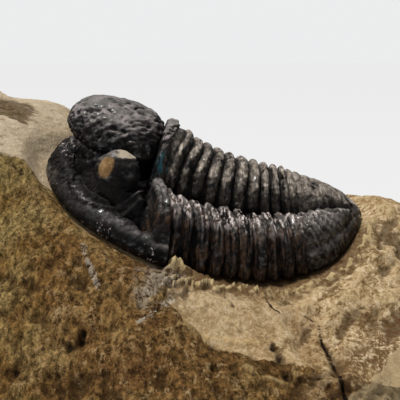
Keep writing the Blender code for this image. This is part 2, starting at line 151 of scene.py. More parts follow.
def arc(t):
    """A quarter circle's height, rising steeply from 0 at t = 0 to 1 at t = 1."""
    return np.sqrt(np.clip(1 - (1 - np.clip(t, 0, 1)) ** 2, 0, 1))


def ridge(step, start, end, sharpness=0.6):
    """A rounded ridge across start..end of a segment, 0 outside it."""
    return np.clip(np.sin(np.pi * np.clip((step - start) / (end - start), 0, 1)), 0, 1) ** sharpness


def beside_axis(t):
    """0 on the axis, 1 on the side lobes, by the share of a half section's columns."""
    return smooth(AXIS_COLUMN - 0.03, AXIS_COLUMN + 0.01, t)


def off_furrow(t):
    """0 in the furrow along the axis, 1 away from it."""
    return smooth(0, 0.035, np.abs(t - AXIS_COLUMN - 0.005))


def swell(x, y, z, lump):
    """Draw the grid lines inside a lump's foot up into a dome that bulges out over its foot.

    A point's share of the way to the foot becomes an angle from the dome's top, whose sine sets how
    far out it goes and whose cosine how high; past the foot a skirt runs out into the old surface.
    """
    dx = x - lump['centre'][0]
    half_length = np.where(dx < 0, lump['front'], lump['back'])
    dx, dy = dx / half_length, (y - lump['centre'][1]) / lump['half_width']
    r, foot = np.hypot(dx, dy), np.sin(lump['sweep'])
    angle = np.minimum(r / foot, 1) * lump['sweep']
    spread = np.where(r < foot, np.sin(angle) / np.maximum(r, 1e-6), 1)
    dome = lump['widest'] + np.where(angle < np.pi / 2, lump['rise'], lump['drop']) * np.cos(angle)
    dome = dome + lump['tilt'] * half_length * dx
    x = lump['centre'][0] + half_length * spread * dx
    y = lump['centre'][1] + lump['half_width'] * spread * dy
    return x, y, mix(dome, z, smooth(foot, foot + lump['skirt'], r))


def head(turns, columns):
    """The head shield: rows by angle round its outline, columns from its middle to its margin.

    Heights go by the distance in from the outline: quarter circles for the rolled border, S curves
    for its furrow and the cheeks. Then the eyes and the glabella swell up, and the last ring
    arches.
    """
    turn, column = np.meshgrid(turns, columns, indexing='ij')
    across = ((1 - COLUMN_EASING) * np.abs(column)
              + COLUMN_EASING * np.sin(np.pi / 2 * np.abs(column)))
    n = HEAD_ROUNDNESS
    x = HEAD_LENGTH * (1 - np.clip(np.cos(turn), 0, 1) ** (2 / n))
    y = HEAD_HALF_WIDTH * np.sin(turn) ** (2 / n) * across
    to_back = HEAD_LENGTH - x
    # distance in from the outline, along the line to the middle of the back edge
    rho = np.maximum(((to_back / HEAD_LENGTH) ** n + (y / HEAD_HALF_WIDTH) ** n) ** (1 / n), 1e-6)
    inset = np.minimum(np.hypot(to_back, y) * (1 / rho - 1), HEAD_LENGTH)
    lift = FRONT_LIFT * smooth(5.0, 0.5, x) * smooth(0, 0.5, inset)
    border = (BORDER_EDGE_SHARE * arc(inset / BORDER_EDGE)
              + (1 - BORDER_EDGE_SHARE) * arc(inset / BORDER_ROLL))
    z = BORDER_HEIGHT * border + lift - BORDER_FURROW * smooth(1.5, BORDER_WIDTH, inset)
    cheek = smooth(BORDER_WIDTH, BORDER_WIDTH + CHEEK_RISE, inset)
    z = z + (CHEEK_HEIGHT - BORDER_HEIGHT + BORDER_FURROW) * cheek
    turned = np.clip((y - BACK_SHOULDER) / (HEAD_HALF_WIDTH - BACK_SHOULDER), 0, 1)
    band = BACK_BAND_HEIGHT + BACK_CROWN * bump(to_back, BACK_BAND / 2, 0.4)
    band = band * np.sqrt(1 - turned ** 2) * arc(inset / 1.6)
    furrow = bump(to_back, BACK_BAND + 0.6, 0.4) * smooth(3.6, 4.4, y) * smooth(0.3, 1.8, inset)
    z = z - BACK_FURROW * furrow
    on_band = smooth(BACK_BAND + 0.3, BACK_BAND - 0.2, to_back) * smooth(3.4, 4.2, y)
    z = mix(z, np.maximum(z, band), on_band)
    eye_x, eye_y = EYE['centre']
    round_eye = np.hypot((x - eye_x) / EYE['front'], (y - eye_y) / EYE['half_width'])
    z = z + SOCLE * bump(round_eye, SOCLE_RADIUS, SOCLE_WIDTH) * smooth(4.0, 5.5, y)
    x = x + GENAL_SWEEP * (y / HEAD_HALF_WIDTH) ** 3 * (x / HEAD_LENGTH) ** 3
    x, y, z = swell(x, y, z, EYE)
    x, y, z = swell(x, y, z, GLABELLA)
    arch = np.sqrt(np.clip(1 - (y / (OCCIPITAL_HALF_WIDTH + 0.2)) ** 2, 0, 1))
    crown = OCCIPITAL_FOOT + OCCIPITAL_RISE * arch
    crown = crown * (1 - OCCIPITAL_DROOP * (2 * to_back / OCCIPITAL_LENGTH - 1) ** 4)
    on_ring = smooth(OCCIPITAL_LENGTH + 0.2, OCCIPITAL_LENGTH - 0.05, to_back)
    on_ring = on_ring * (1 - smooth(OCCIPITAL_HALF_WIDTH - 0.5, OCCIPITAL_HALF_WIDTH + 0.2, y))
    x = x - OCCIPITAL_LEAN * on_ring * smooth(0.3, 1, arch)
    return x, y * np.sign(column), mix(z, crown, on_ring)


def section(t, axis_edge, fulcrum, edge, axis_top, furrow, fulcrum_height):
    """Half a cross section: the arched axis, a level shoulder, a quarter ellipse to the margin."""
    on_axis, on_shoulder = t < AXIS_COLUMN, t < FULCRUM_COLUMN
    up = np.clip(t / AXIS_COLUMN, 0, 1) * np.pi / 2
    out = np.clip((t - AXIS_COLUMN) / (FULCRUM_COLUMN - AXIS_COLUMN), 0, 1)
    down = np.clip((t - FULCRUM_COLUMN) / (1 - FULCRUM_COLUMN), 0, 1) * np.pi / 2
    y = np.where(on_shoulder, mix(axis_edge, fulcrum, out), mix(fulcrum, edge, np.sin(down)))
    z = np.where(on_shoulder, mix(furrow, fulcrum_height, np.sin(out * np.pi / 2)),
                 fulcrum_height * np.cos(down))
    return (np.where(on_axis, axis_edge * np.sin(up) ** 0.9, y),
            np.where(on_axis, mix(furrow, axis_top, np.cos(up) ** 0.8), z))


def raise_relief(y, z, relief):
    """Push a cross section's points along its normals, which are its steps turned by 90 degrees."""
    dy, dz = np.gradient(y, axis=1), np.gradient(z, axis=1)
    length = np.hypot(dy, dz) + 1e-9
    outward = np.where(dy < 0, -1, 1)
    return y - outward * dz / length * relief, z + outward * dy / length * relief


def thorax(steps, columns):
    """Ten segments in a row, each an axial ring with its half ring and two pleural bands a side.

    Each half section's size goes evenly from its front to its back value along the thorax, and the
    rings and bands are half sine waves along a segment, raised along the section's normals.
    """
    number = np.repeat(np.arange(SEGMENTS), len(steps))
    along, column = np.meshgrid(number + np.tile(steps, SEGMENTS), columns, indexing='ij')
    step, share, t = along % 1, along / SEGMENTS, np.abs(column)
    axis_edge, edge = mix(*AXIS_HALF_WIDTH, share), mix(*HALF_WIDTH, share ** 3)
    furrow = mix(*FURROW_HEIGHT, share)
    tips = TIP_NOTCH * smooth(0.7, 1.0, t) * (1 - ridge(step, 0, 1))
    y, z = section(t, axis_edge, mix(axis_edge, edge, FULCRUM_SHARE), edge - tips,
                   mix(*AXIS_HEIGHT, share ** 0.5), furrow, furrow + 0.25)
    rings = HALF_RING_RELIEF * ridge(step, *HALF_RING) + RING_RELIEF * ridge(step, *RING)
    bands = FRONT_BAND_RELIEF * ridge(step, *FRONT_BAND) + BAND_RELIEF * ridge(step, *BAND)
    relief = mix(rings, bands, beside_axis(t)) * (1 - 0.35 * smooth(0.75, 1, t))
    y, z = raise_relief(y, z, relief * (0.25 + 0.75 * off_furrow(t)))
    swept = mix(*PLEURAL_SWEEP, share) * smooth(AXIS_COLUMN, 1, t) ** 1.2
    return HEAD_LENGTH + along * THORAX_LENGTH / SEGMENTS + swept, y * np.sign(column), z


def tail(turns, columns):
    """The tail shield: a half ellipse with a tapering ringed axis and ribs that fade outwards.

    Rings and ribs are sine waves along the tail, the ribs' slanted by the distance from the axis,
    and the shield's height falls off as a rounded fourth-power arch towards the end.
    """
    turn, column = np.meshgrid(turns, columns, indexing='ij')
    t, share = np.abs(column), np.sin(turn)
    edge = HALF_WIDTH[1] * np.clip(np.cos(turn), 0, 1) ** TAIL_TAPER
    axis_edge = np.minimum(AXIS_HALF_WIDTH[1] * (1 - 0.62 * share), edge * 0.9)
    shell = np.sqrt(np.clip(1 - share ** 4, 0, 1))
    furrow = FURROW_HEIGHT[1] * (1 - 0.25 * share) * shell
    axis_top = AXIS_HEIGHT[1] * (1 - 0.25 * share - 0.1 * share ** 2) * shell
    y, z = section(t, axis_edge, mix(axis_edge, edge, 0.5), edge, axis_top, furrow, furrow * 1.04)
    back = TAIL_LENGTH * share
    rings = TAIL_RING_RELIEF * np.abs(np.sin(np.pi * back / TAIL_RING_SPACING)) ** 0.6
    rings = rings * (1 - smooth(0.1, 0.8, share))
    slanted = back - TAIL_RIB_SLANT * np.maximum(y - axis_edge, 0) + 0.6
    ribs = TAIL_RIB_RELIEF * np.abs(np.sin(np.pi * slanted / TAIL_RIB_SPACING)) ** 0.7
    ribs = ribs * (1 - smooth(0.35, 0.95, share)) * (1 - smooth(0.74, 0.86, t))
    ribs = ribs - 0.2 * bump(t, 0.87, 0.025) + 0.1 * bump(t, 0.93, 0.03)
    relief = mix(rings, ribs, beside_axis(t)) * off_furrow(t)
    y, z = raise_relief(y, z, relief * np.clip(np.cos(turn), 0, 1) ** 0.3)
    swept = PLEURAL_SWEEP[1] * smooth(AXIS_COLUMN, 1, t) ** 1.2 * (1 - share)
    return HEAD_LENGTH + THORAX_LENGTH + back + swept, y * np.sign(column), z


# the line the animal's margin plane follows, stepped along its length
LINE_X = np.linspace(-30, 60, 1801)
SLOPE_CHANGES = sum((after - before) * smooth(*span, LINE_X)
                    for before, after, span in zip(SLOPES, SLOPES[1:], SLOPE_SPANS))
LINE_SLOPE = np.radians(SLOPES[0] + SLOPE_CHANGES)
LINE_STEP = LINE_X[1] - LINE_X[0]
LINE_ALONG = np.cumsum(np.cos(LINE_SLOPE)) * LINE_STEP
LINE_ALONG = LINE_ALONG - np.interp(PIVOT, LINE_X, LINE_ALONG)
LINE_HEIGHT = -np.cumsum(np.sin(LINE_SLOPE)) * LINE_STEP
LINE_HEIGHT = LINE_HEIGHT - np.interp(PIVOT, LINE_X, LINE_HEIGHT) + REST_HEIGHT
LINE_HEIGHT = LINE_HEIGHT + FRONT_ARCH * smooth(4.5, -1.5, LINE_X)


def roll_at(x):
    """How far the animal leans over to its far side, more towards the tail."""
    return np.radians(ROLL + TWIST * smooth(*TWIST_SPAN, x))


def place(x, y, z):
    """Take the animal's flat frame to the stone's: bend it along the line, then roll it over."""
    slope, roll = np.interp(x, LINE_X, LINE_SLOPE), roll_at(x)
    rise = z * np.cos(slope)
    return (np.interp(x, LINE_X, LINE_ALONG) + z * np.sin(slope),
            y * np.cos(roll) - rise * np.sin(roll),
            np.interp(x, LINE_X, LINE_HEIGHT) + y * np.sin(roll) + rise * np.cos(roll))


def unplace(x, y):
    """The margin plane's own x, y and its height over a plan position."""
    own_x = np.interp(x, LINE_ALONG, LINE_X)
    own_y = y / np.cos(roll_at(own_x))
    return own_x, own_y, np.interp(own_x, LINE_X, LINE_HEIGHT) + own_y * np.sin(roll_at(own_x))


def margin_distance(x, y):
    """Plan distance from the animal's margin, below 0 inside it."""
    column = np.linspace(0.9, 1, 3)
    blocks = (head(np.linspace(0, np.pi / 2, 60), column), thorax(np.linspace(0, 0.9, 6), column),
              tail(np.linspace(0, np.pi / 2, 40), column))
    edge_x, edge_y = (np.concatenate(axis)[:, -1] for axis in list(zip(*blocks))[:2])
    own_x, own_y, _ = unplace(x, y)
    gap = np.min(np.hypot(own_x[..., None] - edge_x, np.abs(own_y)[..., None] - edge_y), axis=-1)
    inside = np.abs(own_y) < np.interp(own_x, edge_x, edge_y, left=0, right=0)
    return np.where(inside, -gap, gap)


def stone_surface(x, y):
    """The stone's upper surface: a pocket under the animal, a shoulder by the head, a front slope.

    Slopes, S curves and humps in x and y make the stone's own surface; by the distance from the
    animal's margin it goes over to the margin plane, less the gap, plus the lip before the head.
    """
    own = REST_HEIGHT + STONE_RISE - LENGTH_FALL * x + SHOULDER_RISE * smooth(-3, -17, x)
    far_slope = SHOULDER_TILT * smooth(0, -14, x) - FAR_FALL
    own = own + np.where(y > 0, far_slope * y, NEAR_SLOPE * y)
    own = own - 0.09 * np.maximum(y - 9, 0) ** 1.5 - 0.05 * np.maximum(np.abs(x) - 20, 0) ** 1.5
    own = own - 0.8 * bump(x, 4, 6) * bump(y, -11.5, 2.5) + 0.7 * bump(x, -19, 5) * bump(y, 9, 5)
    own = own + 1.6 * bump(x, -18, 4) * bump(y, -5, 4)
    own = own + TOP_WAVE * np.sin(0.37 * x + 0.9) * np.sin(0.45 * y + 0.4)
    away = margin_distance(x, y)
    lip = FRONT_LIP * smooth(0.6, 2.2, away) * smooth(-9, -13, x)
    pocket = unplace(x, y)[2] - POCKET_GAP + lip
    return mix(pocket, own, smooth(POCKET_MARGIN, POCKET_MARGIN + POCKET_BLEND, away))


def outline(corners, angles):
    """Radius of a straight-edged plan outline by angle: where a ray from the middle meets an edge.

    The mean over a few neighbouring angles eases the corners.
    """
    corners = np.array(corners, float)
    around = np.mod(np.arctan2(corners[:, 1], corners[:, 0]), 2 * np.pi)
    corners, around = corners[np.argsort(around)], np.sort(around)
    radii = []
    for turn in np.radians(CORNER_EASING):
        angle = np.mod(angles + turn, 2 * np.pi)
        end = np.searchsorted(around, angle) % len(corners)
        start_x, start_y = corners[end - 1].T
        edge_x, edge_y = (corners[end] - corners[end - 1]).T
        across = np.cos(angle) * edge_y - np.sin(angle) * edge_x
        radii.append((start_x * edge_y - start_y * edge_x) / across)
    return np.mean(radii, axis=0)


def wall_wave(angle, step):
    """A share of the radius by angle: three sine waves, none at the rim or at the widest ring."""
    wave = 0.5 * np.sin(3 * angle + 0.6) + 0.35 * np.sin(5 * angle + 2.1)
    wave = wave + 0.25 * np.sin(8 * angle + 1 + 3 * step)
    return 1 + WALL_WAVE * (wave - 1) * np.sin(np.pi * np.clip(step / WIDEST_STEP, 0, 1))


def stone_rings(angles, shares, steps):
    """Rings of the stone's skin: out over the top to the rim, down the wall to the foot."""
    direction = np.stack((np.cos(angles), np.sin(angles)), axis=-1)
    rim, foot = (outline(corners, angles)[:, None] * direction for corners in (RIM, FOOT))
    size = np.array((STONE_LENGTH, STONE_WIDTH))
    foot = (foot - foot.min(axis=0)) / np.ptp(foot, axis=0) * size - size / 2
    top, step = shares[:, None, None] * rim, steps[:, None]
    down = np.clip(step / WIDEST_STEP, 0, 1)
    under = np.clip((step - WIDEST_STEP) / (1 - WIDEST_STEP), 0, 1)
    plan = mix(rim, foot, down[..., None] ** 0.8) * wall_wave(angles, step)[..., None]
    plan = plan * (1 - UNDERCUT * under)[..., None]
    top_height = stone_surface(top[..., 0], top[..., 1])
    height = np.concatenate((top_height, top_height[-1] * (1 - step ** 1.25)))
    return np.dstack((np.concatenate((top, plan)), height))


def lattice(cell, seed):
    """A repeatable number from 0 to 1 for each cell: its three whole numbers hashed together."""
    mixed = cell[..., 0] * 73856093 ^ cell[..., 1] * 19349663 ^ cell[..., 2] * 83492791
    mixed = (mixed ^ seed * 49979687) & 0xFFFFFFFF
    mixed = (mixed ^ (mixed >> 15)) * 739982445 & 0xFFFFFFFF
    mixed = (mixed ^ (mixed >> 12)) * 695872825 & 0xFFFFFFFF
    return ((mixed ^ (mixed >> 15)) & 0xFFFFFF) / float(0xFFFFFF)


def noise(points, size, seed=0):
    """Smooth heights from -1 to 1: a random number at each lattice corner, eased between them."""
    scaled = points / size
    cell = np.floor(scaled).astype(np.int64)
    t = scaled - cell
    t = t * t * (3 - 2 * t)
    total = 0
    for corner in itertools.product((0, 1), repeat=3):
        weight = np.prod(np.where(np.array(corner, bool), t, 1 - t), axis=-1)
        total = total + weight * lattice(cell + np.array(corner), seed)
    return 2 * total - 1


def fractal(points, size, octaves, seed=0, keep=0.5):
    """Noise summed over octaves, each turned, half the size and keep times the strength."""
    total, strength = 0, 1.0
    for octave in range(octaves):
        total = total + strength * noise(points, size * 0.5 ** octave, seed + octave)
        points, strength = points @ TURN, strength * keep
    return total


def scatter(points, size, seed=0):
    """Distance to the nearest of random spots, one to a lattice cell, in cell sizes."""
    scaled = points / size
    cell = np.floor(scaled).astype(np.int64)
    nearest = np.full(points.shape[:-1], 9.0)
    for step in itertools.product((-1, 0, 1), repeat=3):
        spot = cell + np.array(step)
        place_in_cell = np.stack([lattice(spot, seed + 7 * axis) for axis in range(3)], axis=-1)
        nearest = np.minimum(nearest, np.linalg.norm(spot + place_in_cell - scaled, axis=-1))
    return nearest


def normals(points, closed=False):
    """Unit normals of a grid, from the cross product of its differences along rows and columns."""
    along = np.gradient(points, axis=0)
    if closed:
        across = (np.roll(points, -1, axis=1) - np.roll(points, 1, axis=1)) / 2
    else:
        across = np.gradient(points, axis=1)
    normal = np.cross(along, across)
    return normal / np.maximum(np.linalg.norm(normal, axis=-1, keepdims=True), 1e-12)


def from_front(points):
    """Points pushed together along the way from the front, so that a mark carries on over bumps."""
    points = np.asarray(points, float)
    return points - FRONT_SQUASH * (points @ FRONT)[..., None] * FRONT


def path_distance(points, path):
    """Distance, seen from the front, to the straight stretches through a path's corners.

    Points on the far side count as far away.
    """
    far_side = 9 * smooth(-4, -1, points[..., 1])
    points, path = from_front(points), from_front(path)
    nearest = np.full(points.shape[:-1], 1e3)
    for start, end in zip(path[:-1], path[1:]):
        reach = end - start
        t = np.clip(((points - start) @ reach) / max(reach @ reach, 1e-9), 0, 1)
        gap = np.linalg.norm(points - start - t[..., None] * reach, axis=-1)
        nearest = np.minimum(nearest, gap)
    return nearest + far_side


def paths_distance(points, paths):
    """Distance, seen from the front, to the nearest of several paths."""
    return np.min([path_distance(points, path) for path in paths], axis=0)


def link(name, data):
    """A new object for a mesh, light or camera, in the scene."""
    piece = bpy.data.objects.new(name, data)
    bpy.context.scene.collection.objects.link(piece)
    return piece


def make_piece(name, points, faces, marks):
    """A smooth-shaded mesh object at the origin, with one float attribute for each of its marks."""
    used, numbers = np.unique(faces, return_inverse=True)
    numbers, points = numbers.reshape(-1, 3), points[used] * MM
    mesh = bpy.data.meshes.new(name)
    mesh.vertices.add(len(points))
    mesh.vertices.foreach_set('co', points.ravel())
    mesh.loops.add(numbers.size)
    mesh.loops.foreach_set('vertex_index', numbers.ravel())
    mesh.polygons.add(len(numbers))
    mesh.polygons.foreach_set('loop_start', np.arange(0, numbers.size, 3))
    mesh.polygons.foreach_set('use_smooth', np.ones(len(numbers), bool))
    mesh.update(calc_edges=True)
    for mark, values in marks.items():
        mesh.attributes.new(mark, 'FLOAT', 'POINT').data.foreach_set('value', values.ravel()[used])
    return link(name, mesh)


def grid_faces(index):
    """Two triangles to each cell of a grid of vertex numbers, without those that fold flat."""
    corners = np.stack((index[:-1, :-1], index[1:, :-1], index[1:, 1:], index[:-1, 1:]), axis=-1)
    corners = corners.reshape(-1, 4)
    triangles = np.concatenate((corners[:, (0, 1, 2)], corners[:, (0, 2, 3)]))
    return triangles[(triangles != np.roll(triangles, 1, axis=1)).all(axis=1)]


def fine_shell():
    """The animal's flat-frame points on the fine grid, with each one's part, place along, column.

    The parts are 0 for the head, 1 for the thorax and 2 for the tail. The place along runs from -1
    at the front edge over 0 at the first segment, by one to a segment, to the tail's end.
    """
    near, far = (np.linspace(0, 1, count + 1)[1:] ** COLUMN_CROWDING
                 for count in (NEAR_COLUMNS, FAR_COLUMNS))
    columns = np.concatenate((-near[::-1], (0,), far))
    head_share, tail_share = np.linspace(0, 1, FINE_HEAD_ROWS), np.linspace(0, 1, FINE_TAIL_ROWS)
    blocks = (head(np.pi / 2 * head_share, columns),
              thorax(np.arange(FINE_STEPS) / FINE_STEPS, columns),
              tail(np.linspace(0, np.pi / 2, FINE_TAIL_ROWS), columns))
    flat = np.stack([np.concatenate(axis) for axis in zip(*blocks)], axis=-1)
    x, y, _ = np.moveaxis(flat, -1, 0)
    bowed = bump(np.abs(y), AXIS_HALF_WIDTH[0], BOW_REACH)
    flat[..., 0] = x - RING_BOW * (bowed * smooth(7.5, HEAD_LENGTH, x) * smooth(20, 12, x))
    part = np.repeat((0, 1, 2), [len(block[0]) for block in blocks])
    along = np.concatenate((head_share - 1, np.arange(len(blocks[1][0])) / FINE_STEPS,
                            SEGMENTS + tail_share))
    whole = np.zeros(flat.shape[:2])
    return flat, part[:, None] + whole, along[:, None] + whole, columns + whole


# spots on the shell, in its own flat frame
EYE_PATCH, EYE_PATCH_SIZE = (4.75, -6.0, 4.6), (0.7, 0.8, 1.1)   # worn through before the near eye
# painted highlights sit at these spots
SPARKS = ((0.95, -1.2, 2.6), (1.4, -2.4, 2.5), (8.9, -4.3, 4.4), (6.4, -8.8, 0.7),
          (10.4, -9.6, 0.5), (8.85, -2.3, 8.1))
GLAZE_SPOT = (9.0, -3.5, 6.0)    # a blue-green glaze at the near end of the head's last ring
# heights in millimetres of the shell's reliefs, by zone
WAVES = dict(dome=0.08, margin=0.05, body=0.07, eye=0.05)
TUBERCLES = dict(dome=0.16, cheek=0.05, body=0.03, eye=0.05)
PITTING = dict(dome=0.08, band=0.03, body=0.05)
FIBRES = dict(band=0.10, axis=0.02, lobes=0.09)
WRINKLES, UNEVEN_BANDS, SOCLE_RELIEF, EYE_RIM = 0.08, 0.09, 0.22, 0.09
BAND_RIBS, BAND_RIB_SPACING = 0.28, 0.62
CHEEK_SHARE = 0.45               # how much of the glabella's ruggedness the cheeks have
TUBERCLE_SIZE, PIT_SIZE, WAVE_SIZE, WRINKLE_SIZE = 0.55, 0.75, 1.4, 0.75
CELL_MIDDLE = 0.6                # a usual distance from a scattered spot, in cells


def shell_zones(flat, part, along, column):
    """Shares from 0 to 1 that tell the shell's forms apart, each an S curve in its own distance."""
    x, y, z = np.moveaxis(flat, -1, 0)
    side, head_part = np.abs(column), (part == 0) * 1.0
    glabella_x, eye_x, eye_y = GLABELLA['centre'][0], *EYE['centre']
    off_dome = np.hypot((x - glabella_x) / GLABELLA['front'], y / GLABELLA['half_width'])
    dome = smooth(1.10, 0.97, off_dome) * head_part * (z > 3.2)
    eye_x, eye_y = (x - eye_x) / EYE['front'], (np.abs(y) - eye_y) / EYE['half_width']
    off_eye = np.hypot(eye_x, eye_y)
    eye = smooth(1.15, 0.95, off_eye) * head_part * (z > 3.6)
    plain = head_part * (1 - dome) * (1 - eye)
    cheek = plain * smooth(0.97, 0.80, side)
    back_band = (plain * smooth(-0.12, -0.07, along) * smooth(3.6, 4.4, np.abs(y))
                 * smooth(0.86, 0.78, side))
    lobe = smooth(AXIS_COLUMN - 0.02, AXIS_COLUMN + 0.05, side)
    last_ring = smooth(9.0, 9.5, x) * smooth(4.2, 3.6, np.abs(y))
    return SimpleNamespace(
        head=head_part, thorax=(part == 1) * 1.0, tail=(part == 2) * 1.0, side=side, step=along % 1,
        dome=dome, eye=eye, eye_x=eye_x, cheek=cheek, margin=plain - cheek, back_band=back_band,
        socle=bump(off_eye, 1.75, 0.13) * cheek * smooth(4.4, 5.6, np.abs(y)), lobe=lobe,
        ring=np.where(head_part, last_ring, 1 - lobe),
        recess=cheek * smooth(4.2, 3.2, z) * smooth(0.95, 0.85, side))


def shell_relief(points, outward, along, column, zone):
    """Heights along the shell's normals, summed zone by zone.

    Waves and fibres are lattice noise, wrinkles folded noise, tubercles and pits distances to
    scattered spots, and the back band's ribs sine waves. Both poles stay as they are.
    """
    tubercle = CELL_MIDDLE - scatter(points, TUBERCLE_SIZE, 3)
    pit = smooth(0.40, 0.10, scatter(points, PIT_SIZE, 21))
    waves = fractal(points, WAVE_SIZE, 4, 5, 0.65)
    wrinkle = 1 - 2 * np.abs(fractal(points * (1, 1, 2.2), WRINKLE_SIZE, 3, 71, 0.7))
    fibre = np.stack((along * 5, zone.side * 2.4 * np.sign(column), 0 * along), axis=-1)
    fibre = noise(fibre, 1.0, 81) + 0.6 * noise(fibre, 0.6, 82)
    uneven = noise(np.stack((np.floor(along) * 3.7, 3 * column, 0 * along), axis=-1), 1.0, 84)
    from_front_edge = HEAD_LENGTH * np.cos(np.pi / 2 * (along + 1))
    ribbed = np.abs(np.sin(np.pi * from_front_edge / BAND_RIB_SPACING)) ** 0.6 - 0.6
    up = outward[..., 2]
    rugged = (WAVES['dome'] * waves + WRINKLES * wrinkle - PITTING['dome'] * pit
              + TUBERCLES['dome'] * tubercle)
    relief = (zone.dome * rugged * (1 - 0.45 * smooth(0.4, 0.95, up))
              + zone.cheek * (CHEEK_SHARE * rugged + TUBERCLES['cheek'] * tubercle)
              + zone.margin * WAVES['margin'] * waves
              + SOCLE_RELIEF * zone.socle * (1 + 0.5 * waves)
              + zone.back_band * (FIBRES['band'] * fibre + BAND_RIBS * ribbed
                                  - PITTING['band'] * pit)
              + (1 - zone.head) * (WAVES['body'] * waves - PITTING['body'] * pit
                                   + TUBERCLES['body'] * tubercle)
              + zone.thorax * ((FIBRES['axis'] + FIBRES['lobes'] * zone.lobe) * fibre
                               + UNEVEN_BANDS * uneven * zone.lobe)
              + zone.eye * (TUBERCLES['eye'] * tubercle + WAVES['eye'] * waves
                            + EYE_RIM * bump(up, 0.60, 0.07)))
    pole = np.minimum(smooth(0, 0.03, along + 1), smooth(0, 0.06, SEGMENTS + 1 - along))
    return relief * pole * (1 - 0.7 * smooth(0.90, 0.99, zone.side))


def shell_marks(flat, along, relief, up, zone):
    """What the shell's paint reads at each point: zones, hollows, and nearness to spots."""
    def near_spot(spot, start, end, size=1):
        """0 from start outwards, 1 from end inwards, by the distance from a spot."""
        return smooth(start, end, np.linalg.norm((flat - spot) / size, axis=-1))

    rings = ridge(zone.step, *RING)
    bands = 0.4 * ridge(zone.step, *FRONT_BAND) + ridge(zone.step, *BAND)
    groove = np.clip(1 - 1.25 * mix(rings, bands, zone.lobe), 0, 1) * zone.thorax
    shoulder = smooth(0.40, 0.50, zone.side) * smooth(0.80, 0.66, zone.side)
    return dict(
        hollow=np.clip(0.5 - 3.2 * relief, 0, 1), groove=groove, side=zone.side, along=along,
        head=zone.head - zone.back_band, dome=zone.dome, ring=zone.ring, rim=zone.margin,
        # the up-facing share: a grey dust, and painted top light where the light falls from above
        recess=zone.recess, dust_and_top_light=smooth(0.15, 1.0, up),
        eye_front=near_spot(EYE_PATCH, 1.3, 0.5, EYE_PATCH_SIZE),
        eye_top=zone.eye * smooth(0.35, 0.85, up) * smooth(-0.7, 0, zone.eye_x),
        spark=np.max([near_spot(spot, 1.0, 0.35) for spot in SPARKS], axis=0),
        glaze=near_spot(GLAZE_SPOT, 1.2, 0.5),
        # where painted sheen and glints go: the side lobes' shoulders, out of the grooves
        glint=shoulder * (zone.thorax + 0.4 * zone.tail) * (1 - groove))


def close_shell(points, marks):
    """The shell's piece: its grid, closed by a sheet of straight lines across from edge to edge."""
    rows, columns = points.shape[:2]
    share = np.linspace(0, 1, UNDER_COLUMNS)[1:-1, None]
    under = points[:, :1] * (1 - share) + points[:, -1:] * share
    numbers = np.arange(rows * columns).reshape(rows, columns)
    numbers[0], numbers[-1] = numbers[0, 0], numbers[-1, 0]
    under_numbers = rows * columns + np.arange(rows * under.shape[1]).reshape(rows, -1)
    under_numbers = np.concatenate((numbers[:, -1:], under_numbers[:, ::-1], numbers[:, :1]),
                                   axis=1)
    under_numbers[0], under_numbers[-1] = numbers[0, 0], numbers[-1, 0]
    hidden = np.zeros(under[..., 0].size)
    marks = {mark: np.concatenate((values.ravel(), hidden)) for mark, values in marks.items()}
    return make_piece('fossil_shell', np.concatenate((points.reshape(-1, 3), under.reshape(-1, 3))),
                      np.concatenate((grid_faces(numbers), grid_faces(under_numbers))), marks)


def dress_trilobite():
    """The shell's fine grid, placed on the stone and roughened along its normals."""
    flat, part, along, column = fine_shell()
    points = np.stack(place(*np.moveaxis(flat, -1, 0)), axis=-1)
    outward = normals(points)
    zone = shell_zones(flat, part, along, column)
    relief = shell_relief(points, outward, along, column, zone)
    points = points + outward * relief[..., None]
    return close_shell(points, shell_marks(flat, along, relief, normals(points)[..., 2], zone))


# marks on the stone, each a line through points on its surface
CRACKS = (((10.2, -12.2, 8.2), (10.1, -13.2, 7.7), (10.4, -14.2, 7.3), (10.6, -15.6, 6.9),
           (10.8, -16.3, 6.7), (10.9, -17.2, 6.0), (11.2, -18.4, 4.9), (11.3, -19.4, 3.4),
           (11.9, -20.2, 1.8)),)
FINE_CRACKS = (((6.1, -8.2, 9.9), (6.1, -9.6, 9.6), (6.6, -10.9, 9.2), (7.3, -11.5, 8.8)),
               ((8.7, -11.2, 8.8), (10.0, -11.8, 8.5)))
CALCITE_STREAKS = (
    ((-8.2, -9.9, 13.9), (-7.7, -11.0, 13.1), (-7.1, -11.8, 12.4), (-6.6, -12.7, 11.5)),
    ((-1.2, -12.6, 10.4), (-2.4, -14.2, 10.1), (-3.3, -14.8, 9.6)))
CALCITE_SMEAR = ((-3.0, -12.9, 11.1), (-2.1, -11.5, 11.4), (-1.5, -10.3, 11.4))
PALE_RIDGES = (((4.3, -16.3, 6.9), (5.1, -16.7, 6.6), (5.9, -17.0, 6.3), (6.8, -17.2, 6.0)),
               ((-0.2, -14.4, 9.1), (1.3, -14.3, 8.2), (3.5, -14.3, 7.9), (6.0, -14.4, 7.6)))
PITS = ((6.4, -14.5, 7.5), (6.7, -15.2, 7.1), (7.1, -16.8, 6.4), (-7.4, -15.0, 8.8),
        (-7.5, -15.3, 8.4), (-12.1, -16.2, 6.3), (-8.3, -15.5, 7.9))
SCAR, SCAR_WIDTH, SCAR_DEPTH = (9.0, -13.4, 7.8), 1.9, 0.35
# the thin rise of stone at the head's near back corner: its x, gap from the margin, height
WEDGE_X, WEDGE_GAP, WEDGE_HEIGHT = -1.4, 0.45, 1.35
PATCH, PATCH_SIZE, PATCH_DEPTH = (-18, 6.3), (3.0, 3.2), 0.5   # a broken patch behind the head
# heights in millimetres of the broken face's reliefs
FACE_LUMPS, FACE_SCOOPS, FACE_GRIT, FACE_EDGES = 0.28, 0.35, 0.13, 0.08
